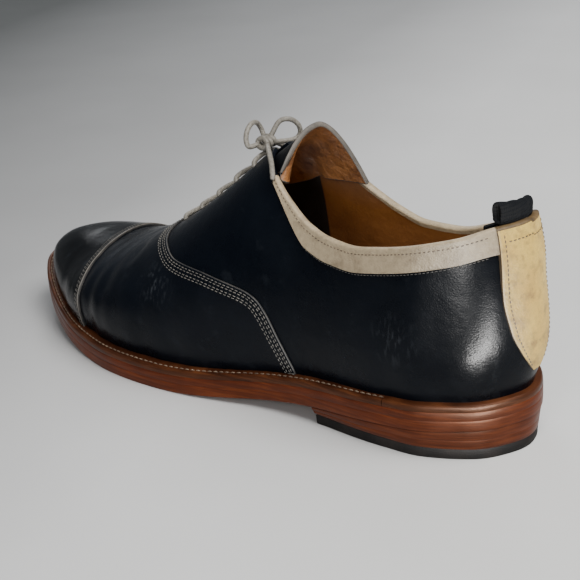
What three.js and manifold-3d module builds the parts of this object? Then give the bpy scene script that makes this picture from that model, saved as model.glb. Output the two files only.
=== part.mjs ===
// Left cap toe dress shoe. Millimetres, +X to the toe, +Y to the outer side, +Z up.
// The origin lies on the floor under the middle of the heel seat.
import * as THREE from 'three';
import { mergeVertices } from 'three/addons/utils/BufferGeometryUtils.js';
import Module from 'manifold-3d';

const wasm = await Module();
wasm.setup();

// Driving sizes of the sole
const SOLE_LENGTH = 300;        // heel back to toe tip
const BALL_WIDTH = 104;         // across the outsole at the ball
const OUTSOLE = 5;              // thickness of the outsole
const MIDSOLE = 3.7;            // thickness of the midsole
const WELT = 3;                 // thickness of welt and rand
const WELT_STANDS_OUT = 7;      // from the foot of the upper to the sole's edge, at the ball
const HEEL_HEIGHT = 14.9;       // from the floor to the outsole at the back
const TOP_PIECE = 5;            // thickness of the heel's rubber piece
const HEEL_FLARE = 1.6;         // how much the heel's foot draws in under its seat
const BREAST_HOLLOW = 5;        // depth of the curve in the heel's front face
const TOE_SPRING = 17;          // height of the toe's underside above the floor
const GAP = 0.3;                // between neighbouring pieces

// Driving sizes of the upper
const WALL = 2;                 // leather and lining of the quarters
const VAMP_STEP = 1;            // how much the vamp stands over the quarters
const CAP_THICKNESS = 1.2;      // leather of the toe cap
const BAND_THICKNESS = 1.1;     // leather of the collar bands and the back strip
const BAND_WIDTH = 9;           // collar band, top edge to lower edge
const SWELL = 3;                // how far the upper bulges over its foot
const INSTEP_HEIGHT = 110;      // floor to the top of the facings
const THROAT_WIDTH = 10;        // opening between the facings at the top
const THROAT_POINT = 1.6;       // opening between the facings at the vamp
const INSOLE = 2.8;             // insole above the foot of the upper
const TONGUE = 2.4;             // thickness of the tongue
const LACE = 2.3;               // diameter of the lace
const LACE_SPREAD = 8;          // lace holes from the middle of the facings
const LACE_PAIRS = 5;           // pairs of lace holes
const LOOP_WIDTH = 23;          // width of the pull loop's tape
const LOOP_TAPE = 1.2;          // thickness of that tape
const LOOP_HEIGHT = 7.4;        // from the back rim to the loop's top

// Plan of the sole: at is a share of the length, outer and inner are shares of the ball width
const PLAN = [
  { at: 0.000, outer: 0.000, inner: 0.000 },
  { at: 0.012, outer: 0.115, inner: 0.120 },
  { at: 0.045, outer: 0.236, inner: 0.225 },
  { at: 0.113, outer: 0.338, inner: 0.304 },
  { at: 0.170, outer: 0.361, inner: 0.318 },
  { at: 0.225, outer: 0.367, inner: 0.312 },
  { at: 0.280, outer: 0.362, inner: 0.298 },
  { at: 0.340, outer: 0.364, inner: 0.286 },
  { at: 0.400, outer: 0.385, inner: 0.283 },
  { at: 0.460, outer: 0.427, inner: 0.296 },
  { at: 0.520, outer: 0.467, inner: 0.330 },
  { at: 0.580, outer: 0.491, inner: 0.386 },
  { at: 0.640, outer: 0.500, inner: 0.446 },
  { at: 0.700, outer: 0.490, inner: 0.495 },
  { at: 0.760, outer: 0.454, inner: 0.518 },
  { at: 0.815, outer: 0.405, inner: 0.510 },
  { at: 0.870, outer: 0.334, inner: 0.472 },
  { at: 0.920, outer: 0.252, inner: 0.402 },
  { at: 0.960, outer: 0.168, inner: 0.306 },
  { at: 0.988, outer: 0.076, inner: 0.178 },
  { at: 1.000, outer: -0.045, inner: 0.045 },
];
const TIP = PLAN.length - 1;
const HEEL_ROW = 3;             // the row through the middle of the heel seat
const TOE_ROW = 16;             // the row where the toe starts to round off

// Underside of the outsole: heel is a share of the heel height, spring one of the toe spring
const UNDERSIDE = [
  { at: 0.00, heel: 1.00, spring: 0 },
  { at: 0.11, heel: 0.90, spring: 0 },
  { at: 0.20, heel: 0.77, spring: 0 },
  { at: 0.28, heel: 0.64, spring: 0 },
  { at: 0.36, heel: 0.44, spring: 0 },
  { at: 0.44, heel: 0.22, spring: 0 },
  { at: 0.52, heel: 0.05, spring: 0 },
  { at: 0.58, heel: 0, spring: 0 },
  { at: 0.70, heel: 0, spring: 0 },
  { at: 0.76, heel: 0, spring: 0.04 },
  { at: 0.82, heel: 0, spring: 0.15 },
  { at: 0.88, heel: 0, spring: 0.36 },
  { at: 0.94, heel: 0, spring: 0.64 },
  { at: 1.00, heel: 0, spring: 1 },
];

// Sections of the last: tuck is a share of the welt's width, swell one of SWELL, belly (height of the
// widest line above the foot) and crest shares of the instep height, lean a share of the ball width,
// outer and inner the fullness of the section on each side, from 1 (flat) over 2 (an ellipse)
const LAST = [
  { at: 0.00, tuck: 0.48, swell: 1.5, belly: 0.207, crest: 1.50, lean: 0, outer: 1.60, inner: 1.60 },
  { at: 0.11, tuck: 0.48, swell: 1.27, belly: 0.20, crest: 1.50, lean: 0, outer: 1.50, inner: 1.50 },
  { at: 0.22, tuck: 0.62, swell: 0.90, belly: 0.19, crest: 1.46, lean: 0, outer: 1.34, inner: 1.34 },
  { at: 0.30, tuck: 0.75, swell: 0.85, belly: 0.19, crest: 1.28, lean: 0, outer: 1.45, inner: 1.45 },
  { at: 0.35, tuck: 0.80, swell: 0.80, belly: 0.19, crest: 1.18, lean: 0, outer: 1.58, inner: 1.75 },
  { at: 0.40, tuck: 0.85, swell: 0.80, belly: 0.19, crest: 1.08, lean: -0.005, outer: 1.80, inner: 2.30 },
  { at: 0.45, tuck: 0.90, swell: 0.75, belly: 0.18, crest: 0.978, lean: -0.010, outer: 1.88, inner: 2.45 },
  { at: 0.50, tuck: 0.95, swell: 0.70, belly: 0.17, crest: 0.866, lean: -0.010, outer: 1.94, inner: 2.40 },
  { at: 0.55, tuck: 1.00, swell: 0.70, belly: 0.16, crest: 0.761, lean: -0.010, outer: 2.00, inner: 2.30 },
  { at: 0.60, tuck: 1.00, swell: 0.70, belly: 0.15, crest: 0.666, lean: -0.015, outer: 2.05, inner: 2.25 },
  { at: 0.65, tuck: 1.00, swell: 0.70, belly: 0.14, crest: 0.583, lean: -0.020, outer: 2.10, inner: 2.20 },
  { at: 0.70, tuck: 1.00, swell: 0.70, belly: 0.13, crest: 0.503, lean: -0.025, outer: 2.15, inner: 2.15 },
  { at: 0.76, tuck: 1.00, swell: 0.65, belly: 0.12, crest: 0.438, lean: -0.035, outer: 2.19, inner: 2.19 },
  { at: 0.82, tuck: 1.00, swell: 0.60, belly: 0.084, crest: 0.396, lean: -0.045, outer: 2.03, inner: 2.03 },
  { at: 0.87, tuck: 1.12, swell: 0.55, belly: 0.052, crest: 0.386, lean: -0.060, outer: 1.97, inner: 1.97 },
  { at: 1.00, tuck: 1.2, swell: 0.50, belly: 0.035, crest: 0.37, lean: -0.060, outer: 2.01, inner: 2.01 },
];

// Lines on the upper: at is a share of the length, outer, inner and up shares of the instep height
// seen from the side, across a share of the ball width seen from above
const TOPLINE = [
  { at: 0.000, outer: 0.905, inner: 0.905 },
  { at: 0.030, outer: 0.902, inner: 0.885 },
  { at: 0.070, outer: 0.872, inner: 0.820 },
  { at: 0.120, outer: 0.840, inner: 0.745 },
  { at: 0.180, outer: 0.800, inner: 0.700 },
  { at: 0.230, outer: 0.778, inner: 0.708 },
  { at: 0.270, outer: 0.784, inner: 0.756 },
  { at: 0.310, outer: 0.812, inner: 0.830 },
  { at: 0.350, outer: 0.880, inner: 0.905 },
  { at: 0.400, outer: 0.985, inner: 0.985 },
];
const VAMP_SEAM = [
  { at: 0.648, up: 0.640 },
  { at: 0.637, up: 0.604 },
  { at: 0.617, up: 0.605 },
  { at: 0.590, up: 0.592 },
  { at: 0.553, up: 0.566 },
  { at: 0.501, up: 0.555 },
  { at: 0.457, up: 0.535 },
  { at: 0.416, up: 0.511 },
  { at: 0.395, up: 0.483 },
  { at: 0.378, up: 0.430 },
  { at: 0.361, up: 0.347 },
  { at: 0.345, up: 0.243 },
  { at: 0.334, up: 0.130 },
  { at: 0.330, up: 0.000 },
];
const CAP_SEAM = [
  { at: 0.774, across: 0.550 },
  { at: 0.777, across: 0.380 },
  { at: 0.783, across: 0.320 },
  { at: 0.790, across: 0.260 },
  { at: 0.798, across: 0.180 },
  { at: 0.809, across: 0.090 },
  { at: 0.818, across: 0.000 },
  { at: 0.827, across: -0.110 },
  { at: 0.834, across: -0.210 },
  { at: 0.836, across: -0.320 },
  { at: 0.830, across: -0.420 },
  { at: 0.822, across: -0.600 },
];
// Half width of the back strip, a share of the ball width, against its height
const STRIP = [
  { up: 0.317, half: 0.004 },
  { up: 0.335, half: 0.022 },
  { up: 0.374, half: 0.055 },
  { up: 0.437, half: 0.098 },
  { up: 0.522, half: 0.132 },
  { up: 0.650, half: 0.149 },
  { up: 0.885, half: 0.134 },
  { up: 1.100, half: 0.130 },
];

const HEEL_CENTRE = PLAN[HEEL_ROW].at * SOLE_LENGTH;
const alongSole = (at) => at * SOLE_LENGTH - HEEL_CENTRE;
const upInstep = (up) => up * INSTEP_HEIGHT;

// Smooth line through a table, with no overshoot between its rows
function lineThrough(rows, xKey, yKey) {
  const x = rows.map((row) => row[xKey]);
  const y = rows.map((row) => row[yKey]);
  const slope = (i) => (y[i + 1] - y[i]) / (x[i + 1] - x[i]);
  const tangent = (i) => {
    if (i === 0) return slope(0);
    if (i === x.length - 1) return slope(i - 1);
    const before = slope(i - 1);
    const after = slope(i);
    return before * after <= 0 ? 0 : (2 * before * after) / (before + after);
  };
  return (value) => {
    const clamped = Math.min(Math.max(value, x[0]), x[x.length - 1]);
    let i = 0;
    while (i < x.length - 2 && clamped > x[i + 1]) i += 1;
    const width = x[i + 1] - x[i];
    const f = (clamped - x[i]) / width;
    const rise = y[i] * (2 * f ** 3 - 3 * f ** 2 + 1) + y[i + 1] * (3 * f ** 2 - 2 * f ** 3);
    return rise + width * (tangent(i) * (f ** 3 - 2 * f ** 2 + f) + tangent(i + 1) * (f ** 3 - f ** 2));
  };
}

const heelShare = lineThrough(UNDERSIDE, 'at', 'heel');
const springShare = lineThrough(UNDERSIDE, 'at', 'spring');
const shareAt = (x) => (x + HEEL_CENTRE) / SOLE_LENGTH;
const underside = (x) => HEEL_HEIGHT * heelShare(shareAt(x)) + TOE_SPRING * springShare(shareAt(x));

// Heights of the layers above the outsole's underside
const MIDSOLE_FROM = OUTSOLE + GAP;
const WELT_FROM = MIDSOLE_FROM + MIDSOLE + GAP;
const FOOT = WELT_FROM + WELT + GAP;
const foot = (x) => underside(x) + FOOT;

// The sole's edge: u runs over the rows of PLAN, side is 1 outside and -1 inside
function planRow(i, side) {
  if (i < 0) return mirrored(planRow(-i, -side));
  if (i > TIP) return mirrored(planRow(2 * TIP - i, -side));
  return { at: PLAN[i].at, half: side > 0 ? PLAN[i].outer : PLAN[i].inner };
}

function mirrored(row) {
  return { at: row.at, half: -row.half };
}

function throughFour(a, b, c, d, f) {
  const bend = 2 * b + (c - a) * f + (2 * a - 5 * b + 4 * c - d) * f * f;
  return 0.5 * (bend + (3 * b - a - 3 * c + d) * f * f * f);
}

function soleEdge(u, side) {
  if (u < 0) return soleEdge(-u, -side);
  if (u > TIP) return soleEdge(2 * TIP - u, -side);
  const i = Math.min(Math.max(Math.floor(u), 0), TIP - 1);
  const [a, b, c, d] = [i - 1, i, i + 1, i + 2].map((row) => planRow(row, side));
  const at = throughFour(a.at, b.at, c.at, d.at, u - i);
  const half = throughFour(a.half, b.half, c.half, d.half, u - i);
  return new THREE.Vector2(alongSole(at), side * half * BALL_WIDTH);
}

function edgeInset(u, side, inset) {
  const step = 0.02;
  const along = soleEdge(u + step, side).sub(soleEdge(u - step, side)).normalize();
  const outward = new THREE.Vector2(-along.y, along.x).multiplyScalar(side);
  return { point: soleEdge(u, side).addScaledVector(outward, -inset), outward };
}

// The last: v runs from the inner foot (-1) over the crest (0) to the outer foot (1)
const tuck = lineThrough(LAST, 'at', 'tuck');
const swell = lineThrough(LAST, 'at', 'swell');
const belly = lineThrough(LAST, 'at', 'belly');
const crest = lineThrough(LAST, 'at', 'crest');
const lean = lineThrough(LAST, 'at', 'lean');
const full = { 1: lineThrough(LAST, 'at', 'outer'), [-1]: lineThrough(LAST, 'at', 'inner') };
const BELLY_SHARE = 0.25;       // share of v from the foot to the widest line

function lastPoint(u, v) {
  if (u < 0) return lastPoint(-u, -v);
  if (u > TIP) return lastPoint(2 * TIP - u, -v);
  const side = v < 0 ? -1 : 1;
  const rise = 1 - Math.abs(v);
  const at = shareAt(soleEdge(u, 1).x);
  const { point, outward } = edgeInset(u, side, tuck(at) * WELT_STANDS_OUT);
  const z = foot(point.x);
  const bulge = swell(at) * SWELL;
  const bellyZ = z + belly(at) * INSTEP_HEIGHT;
  if (rise < BELLY_SHARE) {
    const share = rise / BELLY_SHARE;
    const out = bulge * Math.sin((share * Math.PI) / 2);
    return new THREE.Vector3(point.x + outward.x * out, point.y + outward.y * out, z + (bellyZ - z) * share);
  }
  const ridgeAt = Math.min(Math.max(at, PLAN[HEEL_ROW].at), PLAN[TOE_ROW].at);
  const ridge = new THREE.Vector3(alongSole(ridgeAt), lean(ridgeAt) * BALL_WIDTH, upInstep(crest(ridgeAt)));
  const angle = (((rise - BELLY_SHARE) / (1 - BELLY_SHARE)) * Math.PI) / 2;
  const fullness = 2 / full[side](at);
  const out = Math.max(Math.cos(angle), 0) ** fullness;
  const up = Math.sin(angle) ** fullness;
  return new THREE.Vector3(
    ridge.x + (point.x + outward.x * bulge - ridge.x) * out,
    ridge.y + (point.y + outward.y * bulge - ridge.y) * out,
    bellyZ + (ridge.z - bellyZ) * up,
  );
}

function lastNormal(u, v) {
  const onCrest = Math.abs(v) < 1e-6;
  const row = onCrest ? Math.min(Math.max(u, HEEL_ROW), TOE_ROW) : u;
  const du = 0.05;
  const dv = 0.02;
  const along = lastPoint(row + du, v).sub(lastPoint(row - du, v));
  const down = Math.min(v + dv, 1);
  const upper = Math.max(v - dv, -1);
  const normal = along.cross(lastPoint(row, down).sub(lastPoint(row, upper)));
  if (Math.abs(v) > 1 - 1e-6) normal.z = 0;
  return normal.normalize();
}

function overLast(u, v, offset) {
  return lastPoint(u, v).addScaledVector(lastNormal(u, v), offset);
}

// Solids from rings of points: each ring is one section, and the ends close on themselves
function ringSolid(rings) {
  const count = rings[0].length;
  const positions = rings.flat().flatMap((p) => [p.x, p.y, p.z]);
  const index = [];
  for (let i = 0; i < rings.length - 1; i += 1) {
    for (let j = 0; j < count; j += 1) {
      const a = i * count + j;
      const b = i * count + ((j + 1) % count);
      index.push(a, b, a + count, b, b + count, a + count);
    }
  }
  return toSolid(positions, index);
}

function toSolid(positions, index) {
  const geometry = new THREE.BufferGeometry();
  geometry.setAttribute('position', new THREE.Float32BufferAttribute(positions, 3));
  if (index) geometry.setIndex(index);
  const merged = mergeVertices(geometry, 1e-3);
  const kept = [];
  for (let i = 0; i < merged.index.count; i += 3) {
    const [a, b, c] = [0, 1, 2].map((k) => merged.index.getX(i + k));
    if (a !== b && b !== c && c !== a) kept.push(a, b, c);
  }
  const solid = new wasm.Manifold(new wasm.Mesh({
    numProp: 3,
    vertProperties: new Float32Array(merged.attributes.position.array),
    triVerts: new Uint32Array(kept),
  }));
  if (solid.isEmpty() || solid.volume() <= 0) throw new Error('a section solid is not closed');
  return solid;
}

function fromGeometry(geometry) {
  const bare = geometry.clone();
  bare.deleteAttribute('normal');
  bare.deleteAttribute('uv');
  const index = bare.index ? Array.from(bare.index.array) : null;
  return toSolid(Array.from(bare.attributes.position.array), index);
}

// Prisms of a drawn outline: side view along Y, plan view along Z, front view along X
const X_AXIS = new THREE.Vector3(1, 0, 0);
const Y_AXIS = new THREE.Vector3(0, 1, 0);
const Z_AXIS = new THREE.Vector3(0, 0, 1);

function prism(outline, across, up, from, to) {
  const shape = new THREE.Shape(outline.map(([a, b]) => new THREE.Vector2(a, b)));
  const geometry = new THREE.ExtrudeGeometry(shape, { depth: to - from, bevelEnabled: false, curveSegments: 8 });
  geometry.translate(0, 0, from);
  const depth = new THREE.Vector3().crossVectors(across, up);
  geometry.applyMatrix4(new THREE.Matrix4().makeBasis(across, up, depth));
  return fromGeometry(geometry);
}

const sidePrism = (outline, from = -BALL_WIDTH, to = BALL_WIDTH) => prism(outline, X_AXIS, Z_AXIS, from, to);
const planPrism = (outline, from, to) => prism(outline, X_AXIS, Y_AXIS, from, to);
const frontPrism = (outline, from, to) => prism(outline, Y_AXIS, Z_AXIS, from, to);

// Stations along the shoe, shared by all forms so that their facets stay parallel
const STEPS_PER_ROW = 2;
const stations = Array.from({ length: TIP * STEPS_PER_ROW + 1 }, (_, i) => i / STEPS_PER_ROW);
const RIB = [1, 0.88, 0.75, 0.65, 0.54, 0.43, 0.32, 0.21, 0.11];
const ribSteps = [...RIB, 0, ...RIB.slice().reverse().map((v) => -v)];
const FOOT_DROP = 8;            // forms reach below the foot of the upper and are trimmed there

function lastForm(offset) {
  return ringSolid(stations.map((u) => {
    const ring = ribSteps.map((v) => overLast(u, v, offset));
    const first = ring[0].clone();
    const last = ring[ring.length - 1].clone();
    first.z -= FOOT_DROP;
    last.z -= FOOT_DROP;
    return [first, ...ring, last];
  }));
}

// A layer of the sole: rows give inset and height on its side, from the lower to the upper face
function soleLayer(rows, heightAt) {
  return ringSolid(stations.map((u) => {
    const points = (side) => rows.map((row) => {
      const { point } = edgeInset(u, side, row.inset);
      return new THREE.Vector3(point.x, point.y, heightAt(point.x, row.up));
    });
    return [...points(1), ...points(-1).reverse()];
  }));
}

const aboveSole = (x, up) => underside(x) + up;

const outsole = soleLayer([
  { inset: 1.2, up: 0 },
  { inset: 0.2, up: 0.25 * OUTSOLE },
  { inset: 0, up: 0.6 * OUTSOLE },
  { inset: 0.3, up: OUTSOLE },
], aboveSole);

const midsole = soleLayer([
  { inset: 0.4, up: MIDSOLE_FROM },
  { inset: 0.15, up: MIDSOLE_FROM + 0.5 * MIDSOLE },
  { inset: 0.5, up: MIDSOLE_FROM + MIDSOLE },
], aboveSole);

// Welt and rand: one strip all round, cut apart beside the heel
const STRIP_UNDER_UPPER = 4;    // how far the strip reaches in under the wall
const insideWelt = (x) => tuck(shareAt(x)) * WELT_STANDS_OUT + STRIP_UNDER_UPPER;

function innerEdge(extra) {
  return (x, up) => ({ inset: insideWelt(x) + extra, up });
}

function slabWithin(insetAt, low, high) {
  return ringSolid(stations.map((u) => {
    const points = (side) => [low, high].map((up) => {
      const at = soleEdge(u, side).x;
      const { point } = edgeInset(u, side, insetAt(at));
      return new THREE.Vector3(point.x, point.y, underside(point.x) + up);
    });
    return [...points(1), ...points(-1).reverse()];
  }));
}

const WELT_END = 0.17;          // share of the length where the welt meets the rand
const strip = soleLayer([
  { inset: 0.7, up: WELT_FROM },
  { inset: 0.3, up: WELT_FROM + 0.6 * WELT },
  { inset: 0.8, up: WELT_FROM + WELT },
], aboveSole).subtract(slabWithin(insideWelt, MIDSOLE_FROM, FOOT + WALL));

const weltEnd = alongSole(WELT_END);
const FAR = SOLE_LENGTH;
const aheadOf = (x) => planPrism([[x, -FAR], [FAR, -FAR], [FAR, FAR], [x, FAR]], -FAR, FAR);
const welt = strip.intersect(aheadOf(weltEnd + GAP / 2));
const rand = strip.subtract(aheadOf(weltEnd - GAP / 2));

// Heel: lifts between the floor and the outsole, with a hollow front face
const BREAST = alongSole(0.3);
const breastLine = (inset) => {
  const curve = [];
  for (let i = -4; i <= 4; i += 1) {
    const y = (i / 4) * BALL_WIDTH;
    const hollow = BREAST_HOLLOW * Math.max(1 - (y / (0.36 * BALL_WIDTH)) ** 2, 0);
    curve.push([BREAST - inset - hollow, y]);
  }
  return planPrism([...curve, [-FAR, BALL_WIDTH], [-FAR, -BALL_WIDTH]], -FAR, FAR);
};
const LIFTS = 2;
const LIFT_GAP = 0.5;           // under the curved seat of the outsole
const liftLevel = (x, share) => {
  const low = TOP_PIECE + GAP;
  return low + (underside(Math.min(x, BREAST)) - LIFT_GAP - low) * share;
};

function heelLayer(rows, heightAt, breastInset) {
  return soleLayer(rows, heightAt).intersect(breastLine(breastInset));
}

const heelLifts = Array.from({ length: LIFTS }, (_, i) => {
  const low = i / LIFTS + (i > 0 ? 0.03 : 0);
  const high = (i + 1) / LIFTS - (i < LIFTS - 1 ? 0.03 : 0);
  return heelLayer([
    { inset: 0.6 + HEEL_FLARE * (1 - low) * 0.7, up: low },
    { inset: 0.6 + HEEL_FLARE * (1 - high) * 0.7, up: high },
  ], liftLevel, 0.5 * (1 - low));
});
const topPiece = heelLayer([
  { inset: 0.6 + HEEL_FLARE, up: 0 },
  { inset: 0.6 + 0.8 * HEEL_FLARE, up: TOP_PIECE },
], (x, up) => up, 0.8);

// Upper: quarters and raised vamp, hollow, trimmed at the foot, open at collar and throat
const line = (rows) => rows.map((row) => [alongSole(row.at), upInstep(row.up)]);
const frontPart = (seam, shift = 0) => {
  const points = line(seam).map(([x, z]) => [x + shift, z]);
  const [topX] = points[0];
  const [footX] = points[points.length - 1];
  return sidePrism([[topX, FAR], ...points, [footX, -FAR], [FAR, -FAR], [FAR, FAR]]);
};
const vampRegion = frontPart(VAMP_SEAM);

const topline = { 1: lineThrough(TOPLINE, 'at', 'outer'), [-1]: lineThrough(TOPLINE, 'at', 'inner') };
const TOPLINE_STEPS = 24;
const TOPLINE_FROM = -0.02;     // shares of the length where the topline's drawing starts and ends
const TOPLINE_TO = 0.4;
const toplinePoints = (side, drop = 0) => Array.from({ length: TOPLINE_STEPS + 1 }, (_, i) => {
  const at = TOPLINE_FROM + ((TOPLINE_TO - TOPLINE_FROM) * i) / TOPLINE_STEPS;
  return [alongSole(at), upInstep(topline[side](at)) - drop];
});
const FACING_TOP = 0.435;       // share of the length where the facings end on the crest
const aboveTopline = (side) => sidePrism([
  ...toplinePoints(side),
  [alongSole(FACING_TOP), upInstep(1.03)],
  [alongSole(FACING_TOP), FAR],
  [-FAR, FAR],
  [-FAR, upInstep(topline[side](0))],
], side > 0 ? -FAR : 0, side > 0 ? 0 : FAR);
const belowFoot = slabWithin(() => -WELT_STANDS_OUT, -SOLE_LENGTH / 4, FOOT);
const throatX = alongSole(VAMP_SEAM[0].at);
const crestY = (x) => lean(shareAt(x)) * BALL_WIDTH;
const slitTop = alongSole(0.4);
const throatSlit = planPrism([
  [throatX, crestY(throatX) - THROAT_POINT / 2],
  [throatX, crestY(throatX) + THROAT_POINT / 2],
  [slitTop, crestY(slitTop) + THROAT_WIDTH / 2],
  [slitTop, crestY(slitTop) - THROAT_WIDTH / 2],
], upInstep(0.45), FAR);

const collar = aboveTopline(1).add(aboveTopline(-1));
const quarters = lastForm(0);
const vamp = lastForm(VAMP_STEP).intersect(vampRegion);
const upper = quarters.add(vamp)
  .subtract(lastForm(-WALL))
  .subtract(collar)
  .subtract(belowFoot)
  .subtract(throatSlit);

// Overlays
const capFrom = VAMP_STEP + GAP;
const toeCap = lastForm(capFrom + CAP_THICKNESS)
  .subtract(lastForm(capFrom))
  .intersect(planPrism([
    ...CAP_SEAM.map((row) => [alongSole(row.at), row.across * BALL_WIDTH]),
    [FAR, -FAR],
    [FAR, FAR],
  ], -FAR, FAR))
  .subtract(belowFoot);

const overlay = lastForm(GAP + BAND_THICKNESS).subtract(lastForm(GAP)).subtract(collar);
const stripOutline = (extra) => [
  ...STRIP.map((row) => [row.half * BALL_WIDTH + extra, upInstep(row.up) - extra]),
  ...STRIP.slice().reverse().map((row) => [-row.half * BALL_WIDTH - extra, upInstep(row.up) - extra]),
];
const backStrip = overlay.intersect(frontPrism(stripOutline(0), -FAR, -HEEL_CENTRE / 5));
const BAND_FRONT = 0.383;       // share of the length where the bands run out
const BAND_TAPER = 2.5;         // band widths over which a band runs out to a quarter
const bandRegion = (side) => {
  const inRange = ([x]) => x <= alongSole(BAND_FRONT);
  const high = toplinePoints(side, -2 * BAND_WIDTH).filter(inRange);
  const low = toplinePoints(side).filter(inRange).map(([x, z]) => {
    const run = Math.min((alongSole(BAND_FRONT) - x) / (BAND_TAPER * BAND_WIDTH), 1);
    return [x, z - BAND_WIDTH * (0.25 + 0.75 * run)];
  });
  return sidePrism([...low, ...high.reverse()], side > 0 ? -FAR : 0, side > 0 ? 0 : FAR);
};
const stripSpace = frontPrism(stripOutline(GAP), -FAR, -HEEL_CENTRE / 5);
const bandOuter = overlay.intersect(bandRegion(1)).subtract(stripSpace);
const bandInner = overlay.intersect(bandRegion(-1)).subtract(stripSpace);

// Tongue: a bowed sheet under the facings, flaring at its round top. Rows from the top to the vamp:
// rise is the height of its crest, outerDrop and innerDrop how far the edges lie under it, all shares of
// the instep height. outer and inner are the half widths, ahead and back how far the edges stand off
// the crest along the shoe, all shares of the ball width
const TONGUE_LINE = [
  { at: 0.358, rise: 1.14, outer: 0.1606, outerDrop: 0.1691, ahead: 0.0721, inner: 0.1596, innerDrop: 0.2682, back: 0.1394 },
  { at: 0.368, rise: 1.1164, outer: 0.1606, outerDrop: 0.1655, ahead: 0.0404, inner: 0.1577, innerDrop: 0.2455, back: 0.0721 },
  { at: 0.380, rise: 1.0873, outer: 0.1538, outerDrop: 0.1564, ahead: 0, inner: 0.1577, innerDrop: 0.2227, back: 0 },
  { at: 0.400, rise: 1.0455, outer: 0.15, outerDrop: 0.1327, ahead: 0, inner: 0.1635, innerDrop: 0.1773, back: 0 },
  { at: 0.420, rise: 1.0055, outer: 0.1462, outerDrop: 0.1073, ahead: 0, inner: 0.1596, innerDrop: 0.1618, back: 0 },
  { at: 0.450, rise: 0.9436, outer: 0.1442, outerDrop: 0.0727, ahead: 0, inner: 0.1538, innerDrop: 0.1255, back: 0 },
  { at: 0.480, rise: 0.8764, outer: 0.1394, outerDrop: 0.0509, ahead: 0, inner: 0.149, innerDrop: 0.08, back: 0 },
  { at: 0.520, rise: 0.7891, outer: 0.1346, outerDrop: 0.0355, ahead: 0, inner: 0.1442, innerDrop: 0.0491, back: 0 },
  { at: 0.560, rise: 0.7082, outer: 0.125, outerDrop: 0.0218, ahead: 0, inner: 0.1346, innerDrop: 0.0264, back: 0 },
  { at: 0.600, rise: 0.6355, outer: 0.1154, outerDrop: 0.0155, ahead: 0, inner: 0.125, innerDrop: 0.0155, back: 0 },
  { at: 0.655, rise: 0.5418, outer: 0.1058, outerDrop: 0.0118, ahead: 0, inner: 0.1154, innerDrop: 0.0109, back: 0 },
];
const TONGUE_STEPS = 10;        // facets across the tongue
const TONGUE_ARCH = 2.6;        // exponent of its section, fuller than a parabola
const tongueKeys = ['rise', 'outer', 'outerDrop', 'ahead', 'inner', 'innerDrop', 'back'];
const tongueAt = Object.fromEntries(tongueKeys.map((key) => [key, lineThrough(TONGUE_LINE, 'at', key)]));
const tongueTop = (at, w) => {
  const [half, drop, shift] = w > 0 ? ['outer', 'outerDrop', 'ahead'] : ['inner', 'innerDrop', 'back'];
  const stand = (w > 0 ? 1 : -1) * tongueAt[shift](at) * w * w * BALL_WIDTH;
  const z = upInstep(tongueAt.rise(at) - tongueAt[drop](at) * Math.abs(w) ** TONGUE_ARCH);
  return new THREE.Vector3(alongSole(at) + stand, tongueAt[half](at) * w * BALL_WIDTH, z);
};
const tonguePoint = (at, w, depth) => {
  const along = tongueTop(at + 0.005, w).sub(tongueTop(at - 0.005, w));
  const across = tongueTop(at, Math.min(w + 0.05, 1)).sub(tongueTop(at, Math.max(w - 0.05, -1)));
  return tongueTop(at, w).addScaledVector(along.cross(across).normalize(), -depth);
};
const tongueRing = ({ at }, top, under) => {
  const ws = Array.from({ length: TONGUE_STEPS + 1 }, (_, i) => 1 - (2 * i) / TONGUE_STEPS);
  return [...ws.map((w) => tonguePoint(at, w, top)), ...ws.reverse().map((w) => tonguePoint(at, w, under))];
};
const tongueEnd = (row) => tongueRing(row, TONGUE / 2, TONGUE / 2);
const tongue = ringSolid([
  tongueEnd(TONGUE_LINE[0]),
  ...TONGUE_LINE.map((row) => tongueRing(row, 0, TONGUE)),
  tongueEnd(TONGUE_LINE[TONGUE_LINE.length - 1]),
]);

// Pull loop: a tape folded over behind the back rim and bowed as the heel is. Its line is given from
// the middle of that rim, ahead to the toe and up, in shares of the loop's height, and runs round
const BACK_RIM_AT = -0.832;     // place of the back rim behind the heel's middle
const BACK_RIM = new THREE.Vector3(BACK_RIM_AT * HEEL_CENTRE, 0, upInstep(TOPLINE[0].outer));
const LOOP_LINE = [
  { ahead: 0.000, up: 0.189 },
  { ahead: 0.014, up: 0.446 },
  { ahead: 0.095, up: 0.743 },
  { ahead: 0.243, up: 0.959 },
  { ahead: 0.432, up: 1.000 },
  { ahead: 0.568, up: 0.878 },
  { ahead: 0.541, up: 0.649 },
  { ahead: 0.459, up: 0.419 },
  { ahead: 0.378, up: 0.257 },
];
const RIM_BOW = 0.69;           // how the rim curves to the front, against the tape's width
const LOOP_TILT = 0.2;          // slope of the fold, which hangs lower on the inner side
const loopFaces = 4;            // facets across the tape
const loopRing = (k) => {
  const count = LOOP_LINE.length;
  const [before, here, after] = [k - 1, k, k + 1].map((i) => LOOP_LINE[(i + count) % count]);
  const along = new THREE.Vector2(after.ahead - before.ahead, after.up - before.up).normalize();
  const height = here.up;
  const points = (face) => Array.from({ length: loopFaces + 1 }, (_, i) => {
    const y = LOOP_WIDTH * (i / loopFaces - 0.5);
    const bow = ((RIM_BOW * y * y) / LOOP_WIDTH) * (1 - height / 2);
    const tilt = LOOP_TILT * y * (y < 0 ? 0.4 + 0.6 * height : height);
    return new THREE.Vector3(
      BACK_RIM.x + here.ahead * LOOP_HEIGHT + bow - along.y * face,
      y,
      BACK_RIM.z + here.up * LOOP_HEIGHT + tilt + along.x * face,
    );
  });
  return [...points(-LOOP_TAPE / 2), ...points(LOOP_TAPE / 2).reverse()];
};
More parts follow.
